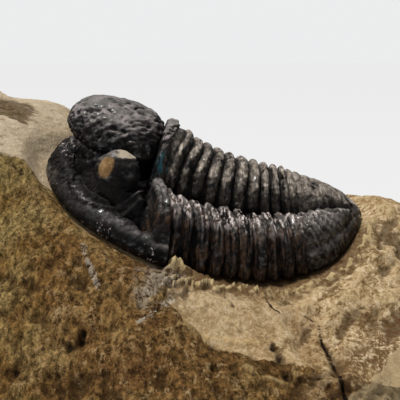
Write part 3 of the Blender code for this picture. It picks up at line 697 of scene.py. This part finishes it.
# of the smooth skin's: its lumps, more where it is layered, less on the ledge; its grit
SKIN_LUMPS, LAYERED_LUMPS, LEDGE_LUMPS, SKIN_GRIT = 0.18, 0.16, 0.14, 0.05
BED_RELIEF, SPLINTER_RELIEF, LAYERED_GRIT, SHOULDER_LUMPS = 0.30, 0.22, 0.06, 0.8
BED_SPACING, FINE_BED_SPACING = 1.7, 0.6
# the jagged crust beside the shell: its distance from the margin, width and height; the height of
# the sill within it and the depth of the furrow outside it
CREST_GAP, CREST_WIDTH, CREST_HEIGHT, SILL, FURROW_BY_CREST = 1.7, 0.20, 0.42, 0.16, 0.22
# the cuts: depth and width of the cracks and pits; the pale ridges' height and width
CRACK_DEPTH, CRACK_WIDTH, PIT_DEPTH, PIT_WIDTH = 0.3, 0.14, 0.45, 0.3
PALE_RIDGE_HEIGHT, PALE_RIDGE_WIDTH, SCAR_RIM = 0.2, 0.12, 0.12
# the flat facet low on the right: x and z of a point on its upper edge, that edge's weights for x
# and z and their length, and the y that bounds it
FACET_POINT, FACET_SLOPE, FACET_LENGTH, FACET_END = (13.3, 6.3), (1.7, 4.0), 4.35, -11.5


def stone_zones(points, wall):
    """Shares from 0 to 1 for the stone's kinds of surface, and distances to its marks in mm.

    Each share is a product of S curves in x, y or the distance from the shell, shifted by noise so
    that its edge is torn. Wall is 0 on the top, and up to 1 down the wall.
    """
    x, y, _ = np.moveaxis(points, -1, 0)
    away, tear = margin_distance(x, y), fractal(points, 3.5, 3, 91)
    jag = fractal(points * (1, 1, 0.3), 1.1, 3, 77, 0.7)
    under_head = (smooth(-0.2, 0.1, away + 0.2 * tear) * smooth(-0.5, -2.5, x)
                  * smooth(-4.0, -5.2, y))
    face = np.maximum(smooth(0.0, 0.05, wall + 0.02 * tear), under_head)
    left = smooth(-7, -16, x + 1.5 * tear)
    ledge = (smooth(-4.5, -8.5, y + 0.6 * tear) * smooth(10.5, 8.0, x + 0.8 * tear)
             * smooth(-5, -3, x))
    near = smooth(0, -3, y) * smooth(-3.5, -1.5, x)
    saw = np.mod(x / 1.3 + 0.9 * tear + 0.5 * jag, 1) ** 1.3
    crest_line = CREST_GAP - 0.4 * saw + 0.4 * jag + 0.40 * noise(points, 2.1, 99)
    wedge_reach = np.where(x < WEDGE_X, 0.5, 1.7)
    off_patch = [(value - middle) / size for value, middle, size in zip((x, y), PATCH, PATCH_SIZE)]
    scar = path_distance(points, (SCAR, SCAR)) / SCAR_WIDTH + 0.35 * tear + 0.2 * jag
    return SimpleNamespace(
        away=away, tear=tear, jag=jag, face=face, left=left, near=near, saw=saw,
        ledge=(1 - face) * np.maximum(ledge, 0.7 * left),
        layered=smooth(7.5, 10.5, x + 0.8 * tear) * smooth(2, -3, y),
        crest_line=crest_line, crest=bump(away, crest_line, CREST_WIDTH) * near,
        wedge=bump(away, WEDGE_GAP, 0.40) * bump(x, WEDGE_X, wedge_reach) * smooth(-3, -5, y),
        patch=smooth(1.15, 0.6, np.hypot(*off_patch) + 0.45 * tear + 0.2 * jag),
        cracks=paths_distance(points, CRACKS) + 0.05 * jag,
        fine_cracks=paths_distance(points, FINE_CRACKS) + 0.03,
        pits=paths_distance(points, [(pit, pit) for pit in PITS]),
        ridges=paths_distance(points, PALE_RIDGES) + 0.1 * jag,
        scar=scar, scarred=smooth(1.05, 0.6, scar))


def stone_relief(points, lumps, wall, zone):
    """Heights along the stone's normals, summed zone by zone, 0 at the base.

    Lumps and grit are lattice noise, scoops are squared distances to scattered spots, beds are
    triangle waves across slanted layers, and crest, wedge, cracks, pits and ridges are humps in a
    distance.
    """
    x, y, z = np.moveaxis(points, -1, 0)
    away, near, face, tear, jag = zone.away, zone.near, zone.face, zone.tear, zone.jag
    grit = fractal(points * (1, 1, 0.6), 0.7, 3, 67, 0.7)
    scoops = scatter(points * (1, 1, 0.8), 3.4, 51) ** 2 - 0.35
    beds = 0.86 * z - 0.5 * x + 0.5 * tear
    beds = (np.abs(np.mod(beds / BED_SPACING, 1) - 0.5) * 2
            + 0.4 * np.abs(np.mod(beds / FINE_BED_SPACING, 1) - 0.5))
    splinters = np.stack(((0.86 * x + 0.5 * z) / 3.5, y / 3, 0.86 * z - 0.5 * x), axis=-1)
    splinters = fractal(splinters, 0.9, 3, 97, 0.6)
    skin_lumps = SKIN_LUMPS + LAYERED_LUMPS * zone.layered - LEDGE_LUMPS * zone.ledge
    relief = (face * (FACE_LUMPS * lumps + FACE_SCOOPS * scoops + FACE_GRIT * grit
                      + FACE_EDGES * (1 - 2 * np.abs(grit)))
              + (1 - face) * skin_lumps * lumps + (1 - face) * SKIN_GRIT * grit
              + zone.layered * (BED_RELIEF * (beds - 0.6) + SPLINTER_RELIEF * splinters
                                + LAYERED_GRIT * grit))
    relief = relief * smooth(0.2, 2.4, away)
    relief = relief + SHOULDER_LUMPS * smooth(-17, -21, x) * smooth(-2, 2, y) * lumps
    sill = smooth(0.1, 0.5, away) * smooth(1.5, 0.9, away) * near
    furrow = bump(away, 2.4 + 0.6 * jag, 0.4) * near * smooth(-0.2, 0.4, jag + tear)
    relief = (relief + zone.crest * (CREST_HEIGHT + 0.30 * zone.saw + 0.35 * jag)
              + zone.wedge * (WEDGE_HEIGHT + 0.3 * jag) + sill * (SILL + 0.16 * jag)
              - FURROW_BY_CREST * furrow - PATCH_DEPTH * zone.patch * (1 + 0.8 * lumps)
              - CRACK_DEPTH * bump(zone.cracks, 0, CRACK_WIDTH)
              - PIT_DEPTH * bump(zone.pits + 0.12 * jag, 0, PIT_WIDTH)
              - SCAR_DEPTH * zone.scarred * (1 + 0.9 * lumps + 0.6 * grit)
              + SCAR_RIM * bump(zone.scar, 1.15, 0.12)
              + PALE_RIDGE_HEIGHT * bump(zone.ridges, 0, PALE_RIDGE_WIDTH))
    return relief * smooth(1.0, 0.96, wall)


def stone_marks(start, points, lumps, relief, wall, zone):
    """What the stone's paint reads at each point: zones, and distances in millimetres to its lines.

    Start holds the points before they were roughened. The brink is the drop below the rim on the
    wall, and less than 0 inside the rim.
    """
    x, y, z = np.moveaxis(start, -1, 0)
    rim_row = points[FINE_TOP_RINGS - 1]
    inward = np.hypot(rim_row[:, 0], rim_row[:, 1]) - np.hypot(points[..., 0], points[..., 1])
    (facet_x, facet_z), (run, rise) = FACET_POINT, FACET_SLOPE
    facet = ((x - facet_x) * run - (z - facet_z) * rise) / FACET_LENGTH + 0.1 * zone.jag
    plain_relief = relief - zone.face * 0.2 * lumps + 0.8 * SCAR_DEPTH * zone.scarred
    crest = np.maximum(zone.crest, zone.wedge * smooth(3.0, 0.5, x))
    return dict(
        hollow=np.clip(0.5 - 1.6 * plain_relief, 0, 1), face=zone.face, ledge=zone.ledge,
        layered=zone.layered, fringe=np.clip(crest, 0, 1), patch=zone.patch, scar=zone.scarred,
        left=zone.left, near=zone.near, away=zone.away, pit=zone.pits,
        crack=np.minimum(zone.cracks - 0.02, zone.fine_cracks),
        ridge=bump(zone.ridges, 0, 0.10), facet=np.minimum(facet, FACET_END - y),
        calcite=paths_distance(points, CALCITE_STREAKS),
        smear=path_distance(points, CALCITE_SMEAR),
        # where the crest's painted shadow goes, just outside it
        under=bump(zone.away - zone.crest_line, 0.42, 0.2) * zone.near,
        brink=np.where(wall > 0, rim_row[:, 2] - points[..., 2], -inward))


def close_stone(points, marks):
    """The stone's piece: its rings, closed by a fan to the middle of the top and of the base."""
    count, spokes = points.shape[:2]
    numbers = np.arange(count * spokes).reshape(count, spokes)
    numbers = np.concatenate((numbers, numbers[:, :1]), axis=1)
    top = float(stone_surface(np.zeros(1), np.zeros(1))[0])
    middles = np.array([[0, 0, top], [0, 0, 0]])
    top_middle = np.full(spokes, count * spokes)
    top_fan = np.stack((top_middle, numbers[0, :-1], numbers[0, 1:]), axis=-1)
    base_fan = np.stack((top_middle + 1, numbers[-1, 1:], numbers[-1, :-1]), axis=-1)
    marks = {mark: np.concatenate((values.ravel(), (0, 0))) for mark, values in marks.items()}
    return make_piece('limestone_block', np.concatenate((points.reshape(-1, 3), middles)),
                      np.concatenate((grid_faces(numbers), top_fan, base_fan)), marks)


def dress_matrix():
    """The stone's fine rings, broken up along their normals.

    The broken face gets lumps, scoops and grit, the ledge beside the animal stays smooth, the right
    side is layered, a jagged crust rims the shell's near edge, and cracks and pits are cut in.
    """
    spread = np.linspace(0, 2 * np.pi, FINE_SPOKES, endpoint=False)
    shares, steps = (np.linspace(0, 1, count + 1)[1:]
                     for count in (FINE_TOP_RINGS, FINE_WALL_STEPS))
    start = stone_rings(spread - NEAR_CROWDING * np.cos(spread), shares, steps)
    wall = np.concatenate((np.zeros(FINE_TOP_RINGS), steps))[:, None] + 0 * start[..., 0]
    zone, lumps = stone_zones(start, wall), fractal(start, 3.0, 5, 61, 0.62)
    relief = stone_relief(start, lumps, wall, zone)
    points = start + normals(start, closed=True) * relief[..., None]
    points[..., 2] = np.maximum(points[..., 2], 0)
    return close_stone(points, stone_marks(start, points, lumps, relief, wall, zone))


class Value:
    """A node's output in an expression: arithmetic on it adds Math nodes."""

    def __init__(self, paint, socket):
        self.paint, self.socket = paint, socket

    def math(self, operation, *others):
        """This value and others through one Math node."""
        return self.paint.node('Math', dict(enumerate((self, *others))), operation=operation)

    def __add__(self, other):
        return self.math('ADD', other)

    def __mul__(self, other):
        return self.math('MULTIPLY', other)

    def __sub__(self, other):
        return self.math('SUBTRACT', other)

    def __rsub__(self, other):
        return self.paint.node('Math', {0: other, 1: self}, operation='SUBTRACT')

    def band(self, low, high):
        """0 below low, 1 above high, eased between; high below low turns it over."""
        values = {'Value': self, 'From Min': low, 'From Max': high}
        return self.paint.node('MapRange', values, interpolation_type='SMOOTHSTEP')

    __radd__, __rmul__ = __add__, __mul__


class Paint:
    """One material: its Principled shader, and one method that adds every other node."""

    def __init__(self, name, **constants):
        self.material = bpy.data.materials.new(name)
        self.material.use_nodes = True
        self.tree = self.material.node_tree
        self.shader = self.tree.nodes['Principled BSDF']
        for socket, value in constants.items():
            self.shader.inputs[socket.replace('_', ' ')].default_value = value
        here = self.node('TexCoord', {}, output='Object')
        self.place = self.node('VectorMath', {0: here, 'Scale': 1 / MM}, operation='SCALE')

    def node(self, kind, values, output=0, stops=(), **settings):
        """A node of a kind: its settings first, then a value or a link for each socket named."""
        node = self.tree.nodes.new('ShaderNode' + kind)
        for setting, value in settings.items():
            setattr(node, setting, value)
        for number, (position, colour) in enumerate(stops):
            elements = node.color_ramp.elements
            stop = elements[number] if number < 2 else elements.new(position)
            stop.position, stop.color = position, (*colour, 1)
        for socket, value in values.items():
            if isinstance(value, Value):
                self.tree.links.new(value.socket, node.inputs[socket])
            else:
                node.inputs[socket].default_value = value
        return Value(self, node.outputs[output])

    def mark(self, name):
        """A number that the mesh holds at each point."""
        return self.node('Attribute', {}, output='Fac', attribute_name=name)

    def marks(self, *names):
        """Several marks at once."""
        return (self.mark(name) for name in names)

    def noise(self, size, detail=3, stretch=None, roughness=0.6):
        """Noise from 0 to 1 with lumps of about size mm, turned and drawn out if stretched."""
        place = self.place
        if stretch:
            values = {'Vector': place, 'Rotation': stretch[0], 'Scale': stretch[1]}
            place = self.node('Mapping', values, vector_type='TEXTURE')
        values = {'Vector': place, 'Scale': 1 / size, 'Detail': detail, 'Roughness': roughness}
        return self.node('TexNoise', values, noise_dimensions='3D')

    def ramp(self, value, *stops):
        """A colour read off a ramp of (position, colour) stops."""
        return self.node('ValToRGB', {'Fac': value}, stops=stops)

    def cells(self, size):
        """Distance, in cell sizes, to the nearest of random spots that lie about size apart."""
        return self.node('TexVoronoi', {'Vector': self.place, 'Scale': 1 / size}, feature='F1')

    def blend(self, factor, colour, other, how='MIX'):
        """A colour that goes over to another one by the factor."""
        colours = {6: colour if isinstance(colour, Value) else (*colour, 1),
                   7: other if isinstance(other, Value) else (*other, 1)}
        return self.node('Mix', {0: factor, **colours}, output=2, data_type='RGBA', blend_type=how)

    def layers(self, colour, *covers):
        """A colour with others laid over it in turn, each a (factor, colour) pair."""
        for factor, cover in covers:
            colour = self.blend(factor, colour, cover)
        return colour

    def bump(self, height, distance, normal=None):
        """A normal tilted by a height, whose range from 0 to 1 stands for a distance in mm."""
        values = {'Height': height, 'Distance': distance * MM}
        if normal:
            values['Normal'] = normal
        return self.node('Bump', values)

    def finish(self, **links):
        """The material, with values linked to its shader's sockets."""
        for socket, value in links.items():
            self.tree.links.new(value.socket, self.shader.inputs[socket.replace('_', ' ')])
        return self.material


# colours of the shell
# near blacks of the shell; the last is painted shade for its hollows
BLACK, SOOT, SHELL_HOLLOW_SHADE = (0.0025, 0.0025, 0.0025), (0.010, 0.008, 0.007), (0.002, 0.002, 0.002)
# grey bloom on up-facing surfaces, partly painted top light
BLOOM_SHEEN_DARK, BLOOM_SHEEN_PALE = (0.150, 0.140, 0.125), (0.330, 0.285, 0.268)
# a ring's own brown, and painted top light for its lit top
RING_BROWN, RING_LIT = (0.075, 0.057, 0.042), (0.245, 0.200, 0.155)
# a painted pale highlight for lit ring tops, and painted sheen for the side lobes' shoulders
RING_LIT_PALE, SHOULDER_SHEEN = (0.560, 0.480, 0.395), (0.180, 0.138, 0.110)
TAIL_SCUFF, LOW_BROWN = (0.160, 0.135, 0.108), (0.066, 0.036, 0.021)
EYE_OCHRE, EYE_BROWN, EYE_TOP = (0.40, 0.245, 0.110), (0.22, 0.125, 0.050), (0.50, 0.42, 0.31)
# painted highlights: glints, glinting specks and sparks
GLINT, GLINT_SPECK, SPARK = (0.78, 0.68, 0.63), (0.7, 0.66, 0.62), (0.80, 0.70, 0.68)
GLAZE = (0.020, 0.085, 0.105)


def shell_material():
    """Black calcite shell: a dull grey coating where it faces up that is partly painted top light, a
    brown dusting low down, rubbed spots, painted shade in its hollows and painted glints and sparks.

    Each cover is a product of marks and noise, cut off by S curves, and lies over the last.
    """
    paint = Paint('black calcite shell', Specular_IOR_Level=0.08, Coat_Roughness=0.15)
    hollow, groove, dust_and_top_light, glint = paint.marks('hollow', 'groove', 'dust_and_top_light', 'glint')
    broad, middle = paint.noise(2.4), paint.noise(1.1)
    small, fine = paint.noise(0.5, 4), paint.noise(0.2, 3)
    fibre = paint.noise(0.24, 3, stretch=((0, 0, 0), (1, 4, 4)))
    scuff = paint.noise(0.34, 4, stretch=((0, 0.9, 0), (2.2, 1, 1)))
    streak = paint.noise(0.3, 3, stretch=((0, 0, 0), (1, 2, 4)))
    behind = 1 - paint.mark('head')
    tail = paint.mark('along').band(SEGMENTS - 0.3, SEGMENTS + 0.1)
    # share outside the painted shade that keeps hollows, grooves and the cheeks' recesses black
    unshaded = hollow.band(0.85, 0.4) * (1 - groove * 0.92) * (1 - paint.mark('recess') * 0.9)
    # grey bloom where the shell faces up, also painted top light there
    bloom_and_top_light = dust_and_top_light * small.band(0.2, 0.62) * unshaded
    bloom_and_top_light = bloom_and_top_light + paint.mark('dome') * dust_and_top_light.band(0.35, 1) * unshaded * 0.6
    on_ring = paint.mark('ring') * unshaded
    # ring tops facing up get painted top light and painted pale highlight streaks
    lit_ring = on_ring * dust_and_top_light.band(0.05, 0.75)
    low = paint.mark('side').band(0.48, 0.72) * behind * (1 - tail * 0.75)
    eye_front = paint.mark('eye_front') + (small - 0.5) * 0.9 + (fine - 0.5) * 0.5
    eye_top = paint.mark('eye_top') + (small - 0.5) * 0.8 + (fine - 0.5) * 0.6
    # painted glinting specks on up-facing surfaces and along the border
    glinting = (dust_and_top_light + paint.mark('rim') * 0.4) * unshaded * paint.noise(0.9).band(0.50, 0.58)
    # painted highlights at the spark spots
    spark = paint.mark('spark') * small.band(0.42, 0.52) * fine.band(0.56, 0.66)
    colour = paint.layers(
        paint.blend(broad.band(0.35, 0.65), BLACK, SOOT),
        (bloom_and_top_light, paint.blend(middle.band(0.4, 0.65), BLOOM_SHEEN_DARK, BLOOM_SHEEN_PALE)),
        (on_ring * fibre.band(0.38, 0.60) * 0.6, RING_BROWN),
        (lit_ring * fibre.band(0.25, 0.55) * 0.85, RING_LIT),
        (lit_ring * fibre.band(0.47, 0.60) * small.band(0.34, 0.54), RING_LIT_PALE),
        # painted sheen on the side lobes' shoulders
        (glint * fibre.band(0.40, 0.60) * 0.6, SHOULDER_SHEEN),
        (tail * scuff.band(0.40, 0.66) * hollow.band(0.8, 0.4) * 0.55, TAIL_SCUFF),
        (low * fibre.band(0.42, 0.60) * middle.band(0.30, 0.60), LOW_BROWN),
        # painted shade darkens the hollows
        (hollow.band(0.6, 0.9) * 0.85, SHELL_HOLLOW_SHADE),
        # painted glints on the shoulders
        (glint * fibre.band(0.49, 0.58) * small.band(0.40, 0.52), GLINT),
        (eye_front.band(0.35, 0.85), paint.blend(middle.band(0.35, 0.6), EYE_OCHRE, EYE_BROWN)),
        (eye_top.band(0.30, 0.90), EYE_TOP),
        (paint.mark('glaze') * streak.band(0.45, 0.62) * 0.8, GLAZE),
        (paint.cells(0.34).band(0.22, 0.10) * glinting * 0.85, GLINT_SPECK),
        (spark * 0.8, SPARK))
    roughness = broad * 0.25 + small * 0.35 + 0.25
    coat = small.band(0.46, 0.62) * unshaded * 0.8
    normal = paint.bump(small, 0.14, paint.bump(fibre * behind, 0.10, paint.bump(fine, 0.07)))
    return paint.finish(Base_Color=colour, Roughness=roughness, Coat_Weight=coat, Normal=normal)


# colours of the stone's smooth skin, each ramp from its darkest grains to its palest
SKIN_RAMP = ((0.31, (0.16, 0.090, 0.033)), (0.42, (0.41, 0.270, 0.122)),
             (0.54, (0.59, 0.420, 0.225)), (0.69, (0.86, 0.690, 0.450)))
PATCH_RAMP = ((0.38, (0.13, 0.072, 0.024)), (0.50, (0.42, 0.280, 0.110)),
              (0.66, (0.66, 0.500, 0.290)))
LEDGE_DARK, LEDGE_PALE, BLOTCH = (0.43, 0.295, 0.145), (0.54, 0.395, 0.225), (0.26, 0.140, 0.045)
BRINK_STAIN, LEFT_PALE, LEFT_BED = (0.36, 0.225, 0.085), (0.78, 0.665, 0.500), (0.25, 0.165, 0.080)
# of its broken face: a tone, multiplied by a nearly grey grain
TONE_RAMP = ((0.38, (0.26, 0.120, 0.030)), (0.51, (0.41, 0.225, 0.062)),
             (0.68, (0.70, 0.500, 0.200)))
GRAIN_RAMP = ((0.28, (0.11, 0.10, 0.09)), (0.44, (0.38, 0.37, 0.34)), (0.56, (0.58, 0.57, 0.52)),
              (0.72, (1.0, 1.0, 0.95)))
REDDER, FLAKE = (0.52, 0.285, 0.115), (0.62, 0.45, 0.235)
# of its beds and edges, with painted shade for its hollows and a painted highlight for raised spots
SCAR_DARK, SCAR_PALE = (0.170, 0.092, 0.034), (0.420, 0.265, 0.120)
BED_DARK, BED_PALE, BED_SEAM = (0.150, 0.078, 0.026), (0.74, 0.54, 0.30), (0.050, 0.026, 0.010)
STONE_HOLLOW_SHADE, RAISED_HIGHLIGHT = (0.050, 0.025, 0.007), (0.58, 0.43, 0.21)
# brown stone with painted shade beside the shell, and painted shade in the gap at its edge
BROWN_AND_SHADE_BY_SHELL, SHADE_AT_SHELL_EDGE = (0.130, 0.068, 0.028), (0.055, 0.028, 0.010)
# painted shadow outside the crest, then the crest's and the pale ridges' own colours
CREST_SHADOW, CREST, PALE_RIDGE = (0.150, 0.085, 0.032), (0.70, 0.53, 0.27), (0.66, 0.46, 0.21)
FACET_EDGE, FACET = (0.150, 0.080, 0.032), (0.49, 0.365, 0.200)
CALCITE, CRYSTAL, CRACK = (0.60, 0.53, 0.42), (0.84, 0.80, 0.72), (0.016, 0.009, 0.004)


def stone_material():
    """Limestone: a smooth pale skin, a coarse ochre-brown broken face, pale crust, white calcite.

    The marks crack, pit, calcite, smear, facet, brink and away hold distances in millimetres; noise
    is added before they are cut off, so that their edges come out ragged and sharp.
    """
    paint = Paint('rough limestone', Specular_IOR_Level=0.12)
    ledge, hollow, near, left, layered, brink = paint.marks('ledge', 'hollow', 'near', 'left',
                                                            'layered', 'brink')
    broad, middle = paint.noise(9.0, 2), paint.noise(3.0, 3)
    small, fine = paint.noise(0.9, 4), paint.noise(0.15, 2)
    coarse = paint.noise(0.42, 5, stretch=((0, 0, 0), (1, 1, 2.0)), roughness=0.78)
    grain = (coarse - 0.5) * 1.7 + (fine - 0.5) * 0.45 + 0.5
    strata = paint.noise(0.9, 6, stretch=((0, -0.55, 0), (4, 3, 1)), roughness=0.72)
    beds = paint.noise(0.5, 5, stretch=((0, 0, 0), (3, 3, 0.7)), roughness=0.75)
    beds = (beds - 0.5) * 1.5 + 0.5
    dots = paint.cells(0.34)

    stain = (brink + (middle - 0.5) * 5 + (small - 0.5) * 3).band(-2.5, -0.5)
    skin = paint.layers(
        paint.ramp(grain + (beds - grain) * left + (middle - 0.5) * 0.25, *SKIN_RAMP),
        (ledge * 0.45 + 0.12, paint.blend(middle.band(0.38, 0.62), LEDGE_DARK, LEDGE_PALE)),
        (paint.noise(5.0, 5).band(0.52, 0.70) * (1 - ledge) * 0.45, BLOTCH),
        (stain * middle.band(0.3, 0.5) * (1 - ledge) * 0.6, BRINK_STAIN),
        (left * 0.50, LEFT_PALE),
        (left * beds.band(0.38, 0.28) * 0.6, LEFT_BED),
        (paint.mark('patch') * middle.band(0.25, 0.50) * 0.85, paint.ramp(grain, *PATCH_RAMP)))

    yellower = (brink + (middle - 0.5) * 5).band(7, 1) * left
    tone = paint.ramp(middle * 0.7 + broad * 0.3 + yellower * 0.12, *TONE_RAMP)
    tone = paint.blend((1 - left) * 0.45, tone, REDDER)
    broken = paint.blend(1, tone, paint.ramp(grain, *GRAIN_RAMP), 'MULTIPLY')
    flake = (1 - left) * small.band(0.53, 0.62) * grain.band(0.46, 0.60)
    broken = paint.blend(flake * 0.6, broken, FLAKE)

    face = (paint.mark('face') + (small - 0.5) * 1.2).band(0.35, 0.60)
    away = paint.mark('away') + (small - 0.5) * 2.0 + (grain - 0.5) * 1.2
    crest = (paint.mark('fringe') + (grain - 0.5) * 0.9).band(0.35, 0.7)
    facet = paint.mark('facet') + (small - 0.5) * 0.5
    calcite = (paint.mark('calcite') + (small - 0.5) * 1.2).band(0.24, 0.06)
    calcite = calcite * grain.band(0.42, 0.55)
    smear = (paint.mark('smear') + (middle - 0.5) * 3 + (small - 0.5) * 2).band(1.5, 0.5)
    smear = smear * grain.band(0.34, 0.58)
    speck = dots.band(0.16, 0.08) * paint.noise(1.6).band(0.54, 0.62)
    crystals = (calcite + smear) * dots.band(0.34, 0.20) * small.band(0.42, 0.56)
    pit = (paint.mark('pit') + (small - 0.5) * 0.7).band(0.30, 0.14)
    crack = (paint.mark('crack') + (small - 0.5) * 0.16 + (fine - 0.5) * 0.06).band(0.13, 0.06)
    colour = paint.layers(
        paint.blend(face, skin, broken),
        (paint.mark('scar') * 0.7, paint.blend(grain.band(0.30, 0.65), SCAR_DARK, SCAR_PALE)),
        (layered * strata.band(0.47, 0.36) * 0.75, BED_DARK),
        (layered * strata.band(0.50, 0.62) * 0.6, BED_PALE),
        (layered * strata.band(0.37, 0.33) * 0.8, BED_SEAM),
        # painted shade in the hollows, and a painted highlight on raised spots
        (hollow.band(0.55, 0.85) * 0.7, STONE_HOLLOW_SHADE),
        (hollow.band(0.35, 0.1) * grain.band(0.4, 0.6) * 0.4, RAISED_HIGHLIGHT),
        # brown stone darkened by painted shade beside the shell's edge, then painted shade in the gap
        # at that edge
        (away.band(2.5, 1.1) * near * 0.8, BROWN_AND_SHADE_BY_SHELL),
        (away.band(0.8, 0.1) * near * 0.7, SHADE_AT_SHELL_EDGE),
        # painted shadow just outside the crest
        (paint.mark('under') * middle.band(0.3, 0.5) * 0.7, CREST_SHADOW),
        (crest * middle.band(0.3, 0.5) * 0.85, CREST),
        (paint.mark('ridge') * small.band(0.3, 0.6) * 0.8, PALE_RIDGE),
        (facet.band(-2.4, -0.6) * grain.band(0.66, 0.42) * 0.85, FACET_EDGE),
        (facet.band(0.0, 0.12) * 0.85, FACET),
        (calcite * 0.75 + smear * 0.6 + speck * 0.55, CALCITE),
        (crystals, CRYSTAL),
        (pit * 0.85 + crack, CRACK))
    normal = paint.bump(small, 0.20, paint.bump(grain * (face * 0.6 + 0.4), 0.30))
    roughness = 0.95 - speck * 0.35 - crystals * 0.3
    return paint.finish(Base_Color=colour, Roughness=roughness, Normal=normal)


CAMERA_AZIMUTH, CAMERA_ELEVATION, CAMERA_DISTANCE = 0.2, 12.3, 60.5
CAMERA_LENS, SENSOR_WIDTH, CAMERA_TARGET = 59.1, 36.0, (0.98, 0, 15.37)
BACKDROP = (0.835, 0.84, 0.845)
SKY_COLOUR, SKY_STRENGTH = (0.85, 0.90, 1.0), 0.22
FLOOR_HALF, FLOOR_COLOUR = 3.0, (0.80, 0.80, 0.80, 1)            # metres, a plain pale grey


def dress(piece, node, material):
    """Put a finished piece in place of its CAD node."""
    piece.data.materials.append(material)
    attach(piece, 'root')
    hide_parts(node)


def floor():
    """A plain pale floor, far wider than the stone."""
    mesh = bpy.data.meshes.new('floor')
    corners = [(x * FLOOR_HALF, y * FLOOR_HALF, 0) for x, y in ((-1, -1), (1, -1), (1, 1), (-1, 1))]
    mesh.from_pydata(corners, [], [(0, 1, 2, 3)])
    mesh.materials.append(Paint('pale floor', Base_Color=FLOOR_COLOUR, Roughness=1.0).material)
    link('floor', mesh)


def lamp(name, place, aim, power, size, colour=(1, 1, 1)):
    """A square soft box aimed at a point; millimetres and watts."""
    light = bpy.data.lights.new(name, 'AREA')
    light.energy, light.size, light.color = power, size * MM, colour
    piece = link(name, light)
    piece.location = Vector(place) * MM
    piece.rotation_euler = (Vector(aim) - Vector(place)).to_track_quat('-Z', 'Y').to_euler()


def sun(name, direction, strength, angle, colour):
    """A far soft light from a direction, as wide across the sky as its angle in degrees."""
    light = bpy.data.lights.new(name, 'SUN')
    light.energy, light.angle, light.color = strength, np.radians(angle), colour
    link(name, light).rotation_euler = Vector(direction).to_track_quat('Z', 'Y').to_euler()


def surroundings():
    """A pale backdrop to the camera, and a dimmer bluish sky to the light."""
    world = bpy.data.worlds.new('world')
    bpy.context.scene.world = world
    world.use_nodes = True
    tree = world.node_tree
    light, show = tree.nodes['Background'], tree.nodes.new('ShaderNodeBackground')
    path, choose = tree.nodes.new('ShaderNodeLightPath'), tree.nodes.new('ShaderNodeMixShader')
    light.inputs['Color'].default_value = (*SKY_COLOUR, 1)
    light.inputs['Strength'].default_value = SKY_STRENGTH
    show.inputs['Color'].default_value = (*BACKDROP, 1)
    tree.links.new(path.outputs['Is Camera Ray'], choose.inputs[0])
    tree.links.new(light.outputs[0], choose.inputs[1])
    tree.links.new(show.outputs[0], choose.inputs[2])
    tree.links.new(choose.outputs[0], tree.nodes['World Output'].inputs['Surface'])


def camera():
    """Looks at the stone from its steep side, a little from above."""
    azimuth, elevation = np.radians(CAMERA_AZIMUTH), np.radians(CAMERA_ELEVATION)
    back = Vector((np.sin(azimuth) * np.cos(elevation), -np.cos(azimuth) * np.cos(elevation),
                   np.sin(elevation)))
    data = bpy.data.cameras.new('camera')
    data.lens, data.sensor_width, data.clip_start = CAMERA_LENS, SENSOR_WIDTH, MM
    piece = link('camera', data)
    piece.location = (Vector(CAMERA_TARGET) + back * CAMERA_DISTANCE) * MM
    piece.rotation_euler = (-back).to_track_quat('-Z', 'Y').to_euler()
    bpy.context.scene.camera = piece


bpy.context.scene.view_settings.view_transform = 'Standard'
dress(dress_trilobite(), 'trilobite', shell_material())
dress(dress_matrix(), 'matrix', stone_material())
floor()
sun('key', (-16, 2, 60), 2.9, 14, (1.0, 0.985, 0.96))
lamp('front', (-90, -130, 110), (0, 0, 12), 0.03, 30, (0.97, 0.98, 1.0))
surroundings()
camera()
